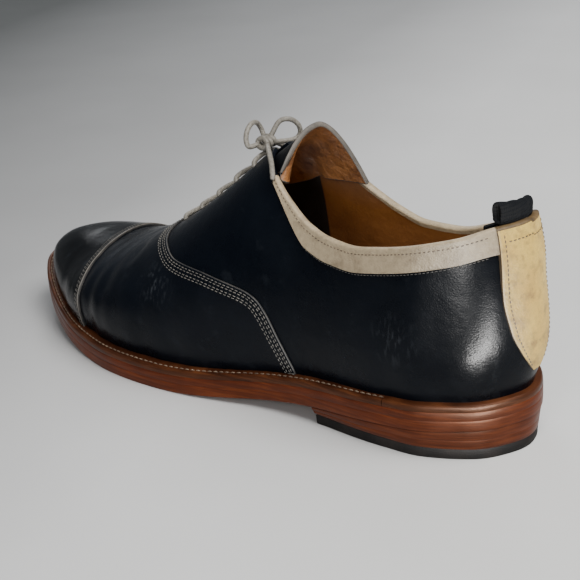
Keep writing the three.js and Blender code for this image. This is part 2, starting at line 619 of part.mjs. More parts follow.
const pullLoop = ringSolid([...LOOP_LINE, LOOP_LINE[0]].map((_, k) => loopRing(k % LOOP_LINE.length)));

// Laces: bars across the facings over each pair of holes, then the bow on the top one
function lace(points) {
  const path = new THREE.CatmullRomCurve3(points.map(([x, y, z]) => new THREE.Vector3(x, y, z)));
  const section = new THREE.Shape();
  const sides = 8;
  for (let i = 0; i < sides; i += 1) {
    const angle = (i / sides) * 2 * Math.PI;
    const point = [(Math.cos(angle) * LACE) / 2, (Math.sin(angle) * LACE) / 2];
    if (i === 0) section.moveTo(...point);
    else section.lineTo(...point);
  }
  section.closePath();
  const steps = Math.max(4, Math.round(path.getLength() / (2 * LACE)));
  return fromGeometry(new THREE.ExtrudeGeometry(section, { steps, extrudePath: path, curveSegments: 1 }));
}

const FIRST_HOLE = 0.615;       // shares of the length of the lowest and the top pair of holes
const LAST_HOLE = 0.455;
const rowAt = (at) => {
  const i = PLAN.findIndex((row) => row.at > at);
  return i - 1 + (at - PLAN[i - 1].at) / (PLAN[i].at - PLAN[i - 1].at);
};
function overFacing(u, y, offset) {
  const side = Math.sign(y) || 1;
  let near = 0;
  let far = 1;
  for (let i = 0; i < 24; i += 1) {
    const middle = (near + far) / 2;
    if (Math.abs(lastPoint(u, side * middle).y) < Math.abs(y)) near = middle;
    else far = middle;
  }
  return overLast(u, side * near, offset);
}
const laceBars = Array.from({ length: LACE_PAIRS }, (_, i) => {
  const u = rowAt(FIRST_HOLE + ((LAST_HOLE - FIRST_HOLE) * i) / (LACE_PAIRS - 1));
  return lace([-1, -0.5, 0, 0.5, 1].map((share) => (
    overFacing(u, share * LACE_SPREAD, LACE / 2 + GAP).toArray()
  )));
});

// Bow: its cords leave the knot face to face. from and to are directions out of the knot's middle
const KNOT = new THREE.Vector3(102.4, 0, 112.6);
const KNOT_SIZE = [9, 8.4, 7];  // along, across and up
const BOW = {
  loopOuter: {
    from: [2.2, 3.6, -0.6],
    path: [
      [106.4, 7.2, 111.8], [107.6, 7.6, 114.6], [108.4, 5.6, 118.2], [109.0, 1.6, 120.6], [109.8, -2.6, 119.8],
      [110.2, -5.4, 116.8], [109.0, -5.6, 113.6],
    ],
    to: [3.4, -2.8, 0.2],
  },
  loopInner: {
    from: [-1.4, -2.8, 3.2],
    path: [[99.6, -6.6, 120.6], [96.6, -10.4, 121.0], [94.6, -13.4, 118.0], [94.4, -14.2, 113.8], [96.2, -11.4, 111.4]],
    to: [-3.2, -3.6, -0.6],
  },
  endOuter: {
    from: [-3.4, 3.4, -0.2],
    path: [[94.4, 8.2, 113.3], [89.4, 13.0, 112.2], [84.6, 17.6, 109.8], [80.6, 22.0, 105.8]],
  },
  endInner: {
    from: [0.6, -3.8, -1.8],
    path: [[102.8, -8.8, 109.2], [101.8, -14.4, 104.6], [100.6, -19.4, 98.2], [99.8, -22.6, 90.5]],
  },
};
const knotForm = new THREE.IcosahedronGeometry(0.5, 1).scale(...KNOT_SIZE).translate(...KNOT.toArray());
const atKnot = (direction) => {
  const onSurface = 0.5 / Math.hypot(...direction.map((part, i) => part / KNOT_SIZE[i]));
  const ray = new THREE.Vector3(...direction);
  const length = ray.length();
  return KNOT.clone().addScaledVector(ray, onSurface + GAP / length).toArray();
};
const bowCord = ({ from, path, to }) => lace([atKnot(from), ...path, ...(to ? [atKnot(to)] : [])]);

// Insole: a bed inside the strip and a plate on it that reaches to the wall
const insideStrip = (x) => insideWelt(x) + GAP;
const insideWall = (x) => tuck(shareAt(x)) * WELT_STANDS_OUT + WALL + GAP;
const insole = slabWithin(insideStrip, WELT_FROM, FOOT + INSOLE / 2)
  .add(slabWithin(insideWall, FOOT, FOOT + INSOLE));

// Shoe
const leather = (color, roughness) => new THREE.MeshStandardMaterial({ color, roughness, metalness: 0 });
const blackLeather = leather(0x0b0c10, 0.32);
const creamLeather = leather(0xc9b48c, 0.6);
const soleLeather = leather(0x7a3418, 0.35);
const darkSole = leather(0x5a2a17, 0.4);
const insoleLeather = leather(0x9a5a22, 0.6);
const rubber = leather(0x1c1614, 0.8);
const tape = leather(0x131316, 0.9);
const laceCord = leather(0xa39d92, 0.8);

const shoe = new THREE.Group();
shoe.name = 'cap_toe_shoe';

function place(name, solid, material) {
  const mesh = solid.getMesh();
  const geometry = new THREE.BufferGeometry();
  const positions = new Float32Array(mesh.numVert * 3);
  for (let i = 0; i < mesh.numVert; i += 1) {
    for (let k = 0; k < 3; k += 1) positions[3 * i + k] = mesh.vertProperties[i * mesh.numProp + k];
  }
  geometry.setAttribute('position', new THREE.BufferAttribute(positions, 3));
  geometry.setIndex(Array.from(mesh.triVerts));
  geometry.computeVertexNormals();
  const piece = new THREE.Mesh(geometry, material);
  piece.name = name;
  shoe.add(piece);
}

place('outsole', outsole, soleLeather);
place('midsole', midsole, soleLeather);
place('welt', welt, darkSole);
place('rand', rand, darkSole);
heelLifts.forEach((lift, i) => place(`heel_lift_${i + 1}`, lift, soleLeather));
place('top_piece', topPiece, rubber);
place('insole', insole, insoleLeather);
place('upper', upper, blackLeather);
place('toe_cap', toeCap, blackLeather);
place('collar_band_outer', bandOuter, creamLeather);
place('collar_band_inner', bandInner, creamLeather);
place('back_strip', backStrip, creamLeather);
place('tongue', tongue, blackLeather);
place('pull_loop', pullLoop, tape);
laceBars.forEach((bar, i) => place(`lace_bar_${i + 1}`, bar, laceCord));
place('lace_knot', fromGeometry(knotForm), laceCord);
place('lace_loop_outer', bowCord(BOW.loopOuter), laceCord);
place('lace_loop_inner', bowCord(BOW.loopInner), laceCord);
place('lace_end_outer', bowCord(BOW.endOuter), laceCord);
place('lace_end_inner', bowCord(BOW.endInner), laceCord);

export default shoe;
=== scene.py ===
# Left cap toe dress shoe. Metres in the scene, millimetres in the shoe's own tables.
# +X to the toe, +Y to the outer side, +Z up, with the origin on the floor under the heel.
import math

import bmesh
import bpy
import numpy as np
from mathutils import Matrix, Vector


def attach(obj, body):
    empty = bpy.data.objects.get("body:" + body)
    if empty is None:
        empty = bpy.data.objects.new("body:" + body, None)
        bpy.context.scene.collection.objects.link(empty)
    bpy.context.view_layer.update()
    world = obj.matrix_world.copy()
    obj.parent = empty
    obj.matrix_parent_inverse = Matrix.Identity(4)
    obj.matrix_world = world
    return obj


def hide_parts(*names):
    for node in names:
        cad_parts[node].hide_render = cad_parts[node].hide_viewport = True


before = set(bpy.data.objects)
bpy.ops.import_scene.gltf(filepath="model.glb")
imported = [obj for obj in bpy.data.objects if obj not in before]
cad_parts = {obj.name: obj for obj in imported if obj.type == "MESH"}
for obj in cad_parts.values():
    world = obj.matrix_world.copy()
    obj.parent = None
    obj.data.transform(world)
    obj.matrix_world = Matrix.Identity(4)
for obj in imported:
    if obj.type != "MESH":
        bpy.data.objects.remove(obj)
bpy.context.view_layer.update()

# Camera
# It stands behind the shoe's outer side and above it, as in the photograph, and looks at the one shoe
# through a longer lens. The picture is rolled a little, as there.
eye = Vector((-0.2556, 0.3950, 0.2773))
ahead = Vector((0.6068, -0.6824, -0.4075)).normalized()
right = Vector((-0.7670, -0.6373, -0.0747))
right = (right - ahead * right.dot(ahead)).normalized()
above = right.cross(ahead)
camera = bpy.data.objects.new("camera", bpy.data.cameras.new("camera"))
bpy.context.scene.collection.objects.link(camera)
camera.matrix_world = Matrix.Translation(eye) @ Matrix((right, above, -ahead)).transposed().to_4x4()
camera.data.lens = 77
camera.data.clip_start = 0.01
bpy.context.scene.camera = camera


# Floor and studio light
# A pale grey sheet under the shoe, its colour painted darker towards the far left as painted shade for
# the light falling off, in an even grey room. A large soft light hangs over the heel side, with weaker
# ones from the side and the toe. Two lights only give shine on the polished calf, a low window and a
# small card close to the heel.
def add(tree, kind, inputs=(), **settings):
    made = tree.nodes.new("ShaderNode" + kind)
    for key, value in settings.items():
        setattr(made, key, value)
    for key, value in dict(inputs).items():
        if isinstance(value, bpy.types.NodeSocket):
            tree.links.new(value, made.inputs[key])
        else:
            made.inputs[key].default_value = value
    return made


def material(name, roughness=0.5, **values):
    made = bpy.data.materials.new(name)
    made.use_nodes = True
    tree = made.node_tree
    shader = tree.nodes["Principled BSDF"]
    shader.inputs["Roughness"].default_value = roughness
    for key, value in values.items():
        shader.inputs[key.replace("_", " ")].default_value = value
    return made, tree, shader


def ramp(tree, factor, stops):
    made = add(tree, "ValToRGB", {"Fac": factor})
    for element, (place, color) in zip(made.color_ramp.elements, (stops[0], stops[-1])):
        element.position = place
        element.color = (*color, 1)
    for place, color in stops[1:-1]:
        made.color_ramp.elements.new(place).color = (*color, 1)
    return made.outputs["Color"]


def blend(tree, factor, first, second, how="MIX"):
    sides = {"Factor": factor, "A": first, "B": second}
    return add(tree, "Mix", sides, data_type="RGBA", blend_type=how).outputs["Result"]


floor_grey, tree, shader = material("floor grey", roughness=0.9, Specular_IOR_Level=0.0)
where = add(tree, "TexCoord").outputs["Object"]
mottle = add(tree, "TexNoise", {"Vector": where, "Scale": 9, "Detail": 6})
depth = add(tree, "SeparateXYZ", {"Vector": where})
aside = add(tree, "Math", {0: depth.outputs["Y"], 1: 0.29}, operation="MULTIPLY")
back = add(tree, "Math", {0: depth.outputs["X"], 1: aside.outputs[0]}, operation="ADD")
# painted shade: the floor's colour runs from pale to dark grey towards the far left, in place of the light
# falling off
fall = add(tree, "MapRange", {"Value": back.outputs[0], "From Min": -0.06, "From Max": 0.78})
tone = ramp(tree, fall.outputs[0], [
    (0, (0.71, 0.71, 0.70)), (0.23, (0.64, 0.64, 0.64)), (0.45, (0.37, 0.37, 0.373)),
    (1, (0.115, 0.118, 0.118)),
])
specks = ramp(tree, mottle.outputs["Fac"], [(0.3, (0.96, 0.96, 0.96)), (0.7, (1.02, 1.02, 1.02))])
tree.links.new(blend(tree, 1.0, tone, specks, "MULTIPLY"), shader.inputs["Base Color"])

bpy.ops.mesh.primitive_plane_add(size=12)
floor = bpy.context.object
floor.name = "floor"
floor.data.materials.append(floor_grey)

world = bpy.data.worlds.new("room")
world.use_nodes = True
world.node_tree.nodes["Background"].inputs["Color"].default_value = (0.86, 0.90, 0.95, 1)
world.node_tree.nodes["Background"].inputs["Strength"].default_value = 0.22
bpy.context.scene.world = world


def soft_light(name, place, target, size, watts, color=(1, 1, 1), along=(0, 1, 0), shine_only=False):
    lamp = bpy.data.lights.new(name, "AREA")
    lamp.shape = "RECTANGLE"
    lamp.size, lamp.size_y = size
    lamp.energy = watts
    lamp.color = color
    holder = bpy.data.objects.new(name, lamp)
    bpy.context.scene.collection.objects.link(holder)
    facing = (Vector(target) - Vector(place)).normalized()
    wide = (Vector(along) - facing * facing.dot(Vector(along))).normalized()
    turn = Matrix((wide, wide.cross(facing), -facing)).transposed()
    holder.matrix_world = Matrix.Translation(place) @ turn.to_4x4()
    holder.visible_diffuse = not shine_only
    holder.visible_camera = not shine_only


warm = (1, 0.98, 0.95)
soft_light("overhead", (-0.70, 0.05, 1.35), (-0.10, 0.0, 0), (1.1, 0.9), 34, (1, 0.99, 0.97))
soft_light("side", (-0.30, 1.20, 0.70), (0, 0, 0.07), (0.5, 0.4), 5, warm)
soft_light("low window", (-0.52, 1.05, 0.10), (0, 0, 0.075), (0.26, 0.22), 22, warm, shine_only=True)
soft_light("card at the heel", (-0.076, 0.060, 0.022), (-0.022, 0.024, 0.050), (0.058, 0.012), 0.42, warm,
           along=(0.045, 0.031, -0.028), shine_only=True)
soft_light("toe side", (1.00, -0.70, 0.75), (0.15, 0, 0.05), (0.6, 0.5), 5, (0.95, 0.98, 1))

# Outsole
# A leather sole with a raised waist and toe spring, its edge trimmed, stained red brown and waxed.
# It is stitched to the welt, and its grain runs round the edge.
SOLE_LENGTH = 300
BALL_WIDTH = 104
OUTSOLE = 5
MIDSOLE = 3.7
WELT = 3
HEEL_HEIGHT = 14.9
TOE_SPRING = 17
GAP = 0.3
# share of the length, then outer and inner half widths as shares of the ball width
PLAN = np.array([
    (0.000, 0.000, 0.000), (0.012, 0.115, 0.120), (0.045, 0.236, 0.225), (0.113, 0.338, 0.304),
    (0.170, 0.361, 0.318), (0.225, 0.367, 0.312), (0.280, 0.362, 0.298), (0.340, 0.364, 0.286),
    (0.400, 0.385, 0.283), (0.460, 0.427, 0.296), (0.520, 0.467, 0.330), (0.580, 0.491, 0.386),
    (0.640, 0.500, 0.446), (0.700, 0.490, 0.495), (0.760, 0.454, 0.518), (0.815, 0.405, 0.510),
    (0.870, 0.334, 0.472), (0.920, 0.252, 0.402), (0.960, 0.168, 0.306), (0.988, 0.076, 0.178),
    (1.000, -0.045, 0.045),
])
TIP = len(PLAN) - 1
# share of the length, share of the heel height and of the toe spring
UNDERSIDE = np.array([
    (0.00, 1.00, 0), (0.11, 0.90, 0), (0.20, 0.77, 0), (0.28, 0.64, 0), (0.36, 0.44, 0), (0.44, 0.22, 0),
    (0.52, 0.05, 0), (0.58, 0, 0), (0.70, 0, 0), (0.76, 0, 0.04), (0.82, 0, 0.15), (0.88, 0, 0.36),
    (0.94, 0, 0.64), (1.00, 0, 1),
])
HEEL_CENTRE = PLAN[3, 0] * SOLE_LENGTH


def along_sole(at):
    return at * SOLE_LENGTH - HEEL_CENTRE


def share_at(x):
    return (x + HEEL_CENTRE) / SOLE_LENGTH


def smooth_line(x, y):
    slope = np.diff(y) / np.diff(x)
    tangent = np.concatenate([slope[:1], np.zeros(len(x) - 2), slope[-1:]])
    for i in range(1, len(x) - 1):
        if slope[i - 1] * slope[i] > 0:
            tangent[i] = 2 * slope[i - 1] * slope[i] / (slope[i - 1] + slope[i])

    def line(value):
        held = np.clip(value, x[0], x[-1])
        i = np.clip(np.searchsorted(x, held) - 1, 0, len(x) - 2)
        width = x[i + 1] - x[i]
        f = (held - x[i]) / width
        level = y[i] * (2 * f**3 - 3 * f**2 + 1) + y[i + 1] * (3 * f**2 - 2 * f**3)
        lift = tangent[i] * (f**3 - 2 * f**2 + f) + tangent[i + 1] * (f**3 - f**2)
        return level + width * lift

    return line


heel_share = smooth_line(UNDERSIDE[:, 0], UNDERSIDE[:, 1])
spring_share = smooth_line(UNDERSIDE[:, 0], UNDERSIDE[:, 2])


def underside(x):
    return HEEL_HEIGHT * heel_share(share_at(x)) + TOE_SPRING * spring_share(share_at(x))


def past_ends(column, other, sign):
    head = [sign * column_end for column_end in (other[2], other[1])]
    tail = [sign * column_end for column_end in (other[-2], other[-3])]
    return np.concatenate([head, column, tail])


plan_at = past_ends(PLAN[:, 0], PLAN[:, 0], 1)
plan_outer = past_ends(PLAN[:, 1], PLAN[:, 2], -1)
plan_inner = past_ends(PLAN[:, 2], PLAN[:, 1], -1)


def sole_edge(u, side):
    u, side = np.broadcast_arrays(np.asarray(u, float), np.asarray(side, float))
    side = np.where((u < 0) | (u > TIP), -side, side)
    u = np.where(u < 0, -u, np.where(u > TIP, 2 * TIP - u, u))
    i = np.clip(np.floor(u).astype(int), 0, TIP - 1)
    f = u - i

    def through_four(row):
        a, b, c, d = row[i + 1], row[i + 2], row[i + 3], row[i + 4]
        bend = 2 * b + (c - a) * f + (2 * a - 5 * b + 4 * c - d) * f * f
        return 0.5 * (bend + (3 * b - a - 3 * c + d) * f**3)

    half = np.where(side > 0, through_four(plan_outer), through_four(plan_inner))
    return np.stack([along_sole(through_four(plan_at)), side * half * BALL_WIDTH], -1)


def edge_inset(u, side, inset):
    step = 0.02
    run = sole_edge(u + step, side) - sole_edge(u - step, side)
    run /= np.linalg.norm(run, axis=-1, keepdims=True)
    outward = np.stack([-run[..., 1], run[..., 0]], -1) * np.asarray(side, float)[..., None]
    return sole_edge(u, side) - outward * np.asarray(inset, float)[..., None], outward


def sheet(points, closed_round=False):
    """Quads over a grid of points, whose rows run along its first axis."""
    rows, columns = points.shape[:2]
    number = np.arange(rows * columns).reshape(rows, columns)
    if closed_round:
        number = np.concatenate([number, number[:1]], 0)
    quads = np.stack([number[:-1, :-1], number[1:, :-1], number[1:, 1:], number[:-1, 1:]], -1)
    return points.reshape(-1, 3), quads.reshape(-1, 4)


def piece(name, parts, stands_for=(), weld=0.02, sharp=None):
    """One mesh of joined parts, each (points in mm, faces, material), fixed to the shoe."""
    points = []
    faces = []
    numbers = []
    finishes = []
    count = 0
    for part_points, part_faces, finish in parts:
        if finish not in finishes:
            finishes.append(finish)
        points.append(np.asarray(part_points, float) * 0.001)
        faces += [tuple(int(i) + count for i in face) for face in part_faces]
        numbers += [finishes.index(finish)] * len(part_faces)
        count += len(part_points)
    mesh = bpy.data.meshes.new(name)
    mesh.from_pydata(np.concatenate(points).tolist(), [], faces)
    mesh.polygons.foreach_set("material_index", numbers)
    for finish in finishes:
        mesh.materials.append(finish)
    made = bpy.data.objects.new(name, mesh)
    bpy.context.scene.collection.objects.link(made)
    if weld:
        work = bmesh.new()
        work.from_mesh(mesh)
        bmesh.ops.remove_doubles(work, verts=work.verts, dist=weld * 0.001)
        bmesh.ops.dissolve_degenerate(work, edges=work.edges, dist=1e-7)
        bmesh.ops.recalc_face_normals(work, faces=work.faces)
        work.to_mesh(mesh)
        work.free()
    mesh.polygons.foreach_set("use_smooth", [True] * len(mesh.polygons))
    if sharp:
        mesh.set_sharp_from_angle(angle=math.radians(sharp))
    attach(made, "root")
    if stands_for:
        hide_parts(*stands_for)
    return made


STATIONS = 400
round_sole = np.linspace(-TIP, TIP, STATIONS, endpoint=False)
half_sole = np.linspace(0, TIP, STATIONS // 2)


def outline(turns, inset, side=1):
    """A line round the sole, set in from its edge by a distance or by one worked out from x."""
    sides = np.full_like(turns, side)
    if callable(inset):
        inset = inset(sole_edge(turns, sides)[:, 0])
    return edge_inset(turns, sides, np.broadcast_to(inset, turns.shape))[0]


def above_sole(x, up):
    return underside(x) + up


def side_wall(rows, turns):
    wall = []
    for inset, up in rows:
        level = outline(turns, inset)
        wall.append(np.column_stack([level, above_sole(level[:, 0], up)]))
    return np.stack(wall, 1)


def plate(inset, up, across=16):
    outer, inner = outline(half_sole, inset), outline(half_sole, inset, -1)
    share = np.linspace(0, 1, across)[None, :, None]
    flat = outer[:, None] * (1 - share) + inner[:, None] * share
    return np.concatenate([flat, above_sole(flat[..., :1], up)], -1)


def sole_layer(rows):
    wall = sheet(side_wall(rows, round_sole), closed_round=True)
    return [wall, sheet(plate(*rows[0])), sheet(plate(*rows[-1]))]


def effect(name, inputs, outputs):
    """An empty shader node group with these sockets."""
    group = bpy.data.node_groups.new(name, "ShaderNodeTree")
    for title, value in inputs:
        kind = "NodeSocketVector" if value is None else "NodeSocketFloat"
        socket = group.interface.new_socket(title, in_out="INPUT", socket_type=kind)
        if value is not None:
            socket.default_value = value
    for title in outputs:
        group.interface.new_socket(title, in_out="OUTPUT", socket_type="NodeSocketFloat")
    return group, group.nodes.new("NodeGroupInput").outputs, group.nodes.new("NodeGroupOutput").inputs


def use(tree, group, inputs):
    made = tree.nodes.new("ShaderNodeGroup")
    made.node_tree = group
    for key, value in inputs.items():
        if isinstance(value, bpy.types.NodeSocket):
            tree.links.new(value, made.inputs[key])
        else:
            made.inputs[key].default_value = value
    return made.outputs


# Patches are soft uneven areas of wear, dirt or gloss
patches, taken, given = effect(
    "patches", [("Place", None), ("Scale", 40.0), ("Low", 0.45), ("High", 0.7)], ["Mask"])
cloud = add(patches, "TexNoise", {
    "Vector": taken["Place"], "Scale": taken["Scale"], "Detail": 7, "Roughness": 0.62})
cut = add(patches, "MapRange", {
    "Value": cloud.outputs["Fac"], "From Min": taken["Low"], "From Max": taken["High"]})
patches.links.new(cut.outputs[0], given["Mask"])

# Edge grain is the fine streaks along the trimmed edge of a sole
edge_grain, taken, given = effect(
    "edge grain", [("Place", None), ("Fineness", 900.0)], ["Streaks", "Pores"])
flatter = add(edge_grain, "Mapping", {"Vector": taken["Place"], "Scale": (0.06, 0.06, 1)})
streak = add(edge_grain, "TexNoise", {
    "Vector": flatter.outputs[0], "Scale": taken["Fineness"], "Detail": 4})
pores = add(edge_grain, "TexNoise", {"Vector": taken["Place"], "Scale": 1400, "Detail": 2})
edge_grain.links.new(streak.outputs["Fac"], given["Streaks"])
edge_grain.links.new(pores.outputs["Fac"], given["Pores"])


def bumped(tree, shader, height, distance, before=None):
    made = add(tree, "Bump", {"Height": height, "Distance": distance, "Strength": 1.0})
    if before is not None:
        tree.links.new(before.outputs[0], made.inputs["Normal"])
    tree.links.new(made.outputs[0], shader.inputs["Normal"])
    return made


def mottled(name, dark, light, scale, low, high, roughness=0.6, **values):
    """A material whose colour goes softly from dark to light in patches."""
    made, tree, shader = material(name, roughness, **values)
    where = add(tree, "TexCoord").outputs["Object"]
    mask = use(tree, patches, {"Place": where, "Scale": scale, "Low": low, "High": high})["Mask"]
    tree.links.new(ramp(tree, mask, [(0, dark), (1, light)]), shader.inputs["Base Color"])
    return made, tree, shader, where


def stained_edge(name, dark, middle, light, roughness=0.4):
    made, tree, shader = material(name, Specular_IOR_Level=0.20, Specular_Tint=(1.0, 0.62, 0.45, 1))
    where = add(tree, "TexCoord").outputs["Object"]
    grain = use(tree, edge_grain, {"Place": where})
    worn = use(tree, patches, {"Place": where, "Scale": 55.0, "Low": 0.38, "High": 0.72})
    color = ramp(tree, grain["Streaks"], [(0.18, dark), (0.50, middle), (0.84, light)])
    shade = ramp(tree, worn["Mask"], [(0, (0.80, 0.76, 0.74)), (1, (1.16, 1.14, 1.08))])
    tree.links.new(blend(tree, 1.0, color, shade, "MULTIPLY"), shader.inputs["Base Color"])
    rough = add(tree, "MapRange", {
        "Value": worn["Mask"], "To Min": roughness - 0.05, "To Max": roughness + 0.12})
    tree.links.new(rough.outputs[0], shader.inputs["Roughness"])
    fine = bumped(tree, shader, grain["Streaks"], 0.00003)
    bumped(tree, shader, grain["Pores"], 0.00006, before=fine)
    return made


sole_edge_finish = stained_edge(
    "red brown sole edge", (0.052, 0.010, 0.004), (0.108, 0.022, 0.0065), (0.20, 0.048, 0.012))
# each row of a layer is how far it is set in, then its height above the underside
LAP = 0.14
outsole_rows = [
    (0.6, 0), (0.3, 0.1), (0.12, 0.15 * OUTSOLE), (0.05, 0.45 * OUTSOLE), (0, 0.8 * OUTSOLE),
    (0, OUTSOLE), (0.07, OUTSOLE + LAP),
]
parts = sole_layer(outsole_rows)
piece("outsole_leather", [(*part, sole_edge_finish) for part in parts],
      stands_for=["outsole"], sharp=50)

# Midsole
# The second leather layer, flush with the outsole and stained with it, so that only a fine line
# shows between the two.
MIDSOLE_FROM = OUTSOLE + GAP
midsole_finish = stained_edge(
    "midsole edge", (0.045, 0.009, 0.004), (0.094, 0.019, 0.0060), (0.18, 0.043, 0.011))
midsole_rows = [
    (0.07, MIDSOLE_FROM - LAP), (0, MIDSOLE_FROM), (0.02, MIDSOLE_FROM + 0.5 * MIDSOLE),
    (0.04, MIDSOLE_FROM + MIDSOLE), (0.14, MIDSOLE_FROM + MIDSOLE + LAP),
]
parts = sole_layer(midsole_rows)
piece("midsole_leather", [(*part, midsole_finish) for part in parts],
      stands_for=["midsole"], sharp=50)

# Welt and rand
# A leather strip sewn round the forepart with a thick pale thread that shows in a channel on its top.
# Behind the heel breast a plain rand closes the seat. Both are stained darker than the sole.
WELT_FROM = MIDSOLE_FROM + MIDSOLE + GAP
FOOT = WELT_FROM + WELT + GAP
WELT_STANDS_OUT = 7
STRIP_UNDER_UPPER = 4
WELT_END = 0.17
SWELL = 3
INSTEP_HEIGHT = 110
# share of the length, tuck, swell, belly, crest, lean, then the fullness of the outer and inner side
LAST = np.array([
    (0.00, 0.48, 1.50, 0.207, 1.500, 0.000, 1.60, 1.60),
    (0.11, 0.48, 1.27, 0.200, 1.500, 0.000, 1.50, 1.50),
    (0.22, 0.62, 0.90, 0.190, 1.460, 0.000, 1.34, 1.34),
    (0.30, 0.75, 0.85, 0.190, 1.280, 0.000, 1.45, 1.45),
    (0.35, 0.80, 0.80, 0.190, 1.180, 0.000, 1.58, 1.75),
    (0.40, 0.85, 0.80, 0.190, 1.080, -0.005, 1.80, 2.30),
    (0.45, 0.90, 0.75, 0.180, 0.978, -0.010, 1.88, 2.45),
    (0.50, 0.95, 0.70, 0.170, 0.866, -0.010, 1.94, 2.40),
    (0.55, 1.00, 0.70, 0.160, 0.761, -0.010, 2.00, 2.30),
    (0.60, 1.00, 0.70, 0.150, 0.666, -0.015, 2.05, 2.25),
    (0.65, 1.00, 0.70, 0.140, 0.583, -0.020, 2.10, 2.20),
    (0.70, 1.00, 0.70, 0.130, 0.503, -0.025, 2.15, 2.15),
    (0.76, 1.00, 0.65, 0.120, 0.438, -0.035, 2.19, 2.19),
    (0.82, 1.00, 0.60, 0.084, 0.396, -0.045, 2.03, 2.03),
    (0.87, 1.12, 0.55, 0.052, 0.386, -0.060, 1.97, 1.97),
    (1.00, 1.20, 0.50, 0.035, 0.370, -0.060, 2.01, 2.01),
])
tuck, swell, belly, crest, lean, full_outer, full_inner = [
    smooth_line(LAST[:, 0], LAST[:, k]) for k in range(1, LAST.shape[1])
]


def foot(x):
    return underside(x) + FOOT


def inside_welt(turns):
    x = sole_edge(turns, np.ones_like(turns))[:, 0]
    return tuck(share_at(x)) * WELT_STANDS_OUT + STRIP_UNDER_UPPER


def row_at(at):
    i = int(np.searchsorted(PLAN[:, 0], at))
    return i - 1 + (at - PLAN[i - 1, 0]) / (PLAN[i, 0] - PLAN[i - 1, 0])


def welt_strip(turns, rows):
    reach = inside_welt(turns)
    strip = side_wall([(reach, rows[0][1]), *rows, (reach, rows[-1][1]), (reach, rows[0][1])], turns)
    side, quads = sheet(strip)
    ring = strip.shape[1]
    first = tuple(range(ring - 1))
    last = tuple(len(side) - ring + k for k in reversed(range(ring - 1)))
    return side, [tuple(q) for q in quads] + [first, last]


def stitch_row(line, normals, length, step, radius, start=0.5):
    """Small rounded threads laid end to end along a line, sunk at their ends."""
    run = np.linalg.norm(np.diff(line, axis=0), axis=1)
    reach = np.concatenate([[0], np.cumsum(run)])
    places = np.arange(start * step, reach[-1] - length / 2, step)

    def at(distance, values):
        return np.stack([np.interp(distance, reach, values[:, k]) for k in range(3)], -1)

    tangent = at(places + length / 3, line) - at(places - length / 3, line)
    tangent /= np.linalg.norm(tangent, axis=1, keepdims=True)
    normal = at(places, normals)
    normal /= np.linalg.norm(normal, axis=1, keepdims=True)
    across = np.cross(tangent, normal)
    rings = [(-0.5, 0.35, -0.7), (-0.36, 0.85, -0.1), (0, 1, 0.25), (0.36, 0.85, -0.1), (0.5, 0.35, -0.7)]
    sides = 6
    points = []
    for share, thick, lift in rings:
        middle = at(places + share * length, line) + normal * lift * radius
        for k in range(sides):
            turn = 2 * math.pi * k / sides
            points.append(middle + (across * math.cos(turn) + normal * math.sin(turn)) * radius * thick)
    points = np.stack(points, 1)
    per = points.shape[1]
    faces = []
    for ring in range(len(rings) - 1):
        for k in range(sides):
            a, b = ring * sides + k, ring * sides + (k + 1) % sides
            faces.append((a, b, b + sides, a + sides))
    faces = np.array(faces)
    caps = np.array([tuple(range(sides)), tuple(per - 1 - k for k in range(sides))])
    quads = (faces[None] + per * np.arange(len(places))[:, None, None]).reshape(-1, 4)
    ends = (caps[None] + per * np.arange(len(places))[:, None, None]).reshape(-1, sides)
    return points.reshape(-1, 3), [tuple(q) for q in quads] + [tuple(e) for e in ends]


welt_finish = stained_edge(
    "welt leather", (0.022, 0.008, 0.004), (0.060, 0.019, 0.008), (0.14, 0.048, 0.018), 0.38)
welt_rows = [
    (0.16, WELT_FROM - LAP), (0.08, WELT_FROM), (0.16, WELT_FROM + 0.5 * WELT),
    (0.35, WELT_FROM + 0.8 * WELT), (0.9, WELT_FROM + WELT), (2.1, WELT_FROM + WELT),
    (2.7, WELT_FROM + WELT - 0.45), (3.3, WELT_FROM + WELT - 0.05), (4.2, WELT_FROM + WELT),
]
end_row = row_at(WELT_END)
gap_row = GAP / 2 / SOLE_LENGTH / (PLAN[5, 0] - PLAN[4, 0])
front_turns = np.linspace(end_row + gap_row, 2 * TIP - end_row - gap_row, 420)
back_turns = np.linspace(-end_row + gap_row, end_row - gap_row, 140)
piece("welt_leather", [(*welt_strip(front_turns, welt_rows), welt_finish)],
      stands_for=["welt"], sharp=60)
rand_rows = [
    (0.16, WELT_FROM - LAP), (0.08, WELT_FROM), (0.16, WELT_FROM + 0.5 * WELT),
    (0.4, WELT_FROM + 0.82 * WELT), (1.0, WELT_FROM + WELT),
]
piece("rand_leather", [(*welt_strip(back_turns, rand_rows), welt_finish)],
      stands_for=["rand"], sharp=60)

pale_thread = mottled("waxed pale thread", (0.09, 0.055, 0.035), (0.30, 0.22, 0.15), 120, 0.3, 0.75, 0.55)[0]
channel = outline(front_turns, 2.7)
channel = np.column_stack([channel, above_sole(channel[:, 0], WELT_FROM + WELT - 0.25)])
upward = np.tile([0.0, 0.0, 1.0], (len(channel), 1))
piece("welt_stitches", [(*stitch_row(channel, upward, 2.5, 3.1, 0.42), pale_thread)],
      weld=0)

# Heel
# Two stacked leather lifts and a dark rubber top piece, shaped together after they are nailed on.
# The front face is a shallow curve, and the lifts are stained as the sole's edge is.
TOP_PIECE = 5
HEEL_FLARE = 1.6
BREAST_HOLLOW = 5
BREAST = along_sole(0.3)
LIFTS = 2
LIFT_GAP = 0.5
LIFT_SEAM = 0.03
HEEL_SET_IN = 0.6


def breast_x(y, inset):
    return BREAST - inset - BREAST_HOLLOW * np.maximum(1 - (y / (0.36 * BALL_WIDTH)) ** 2, 0)


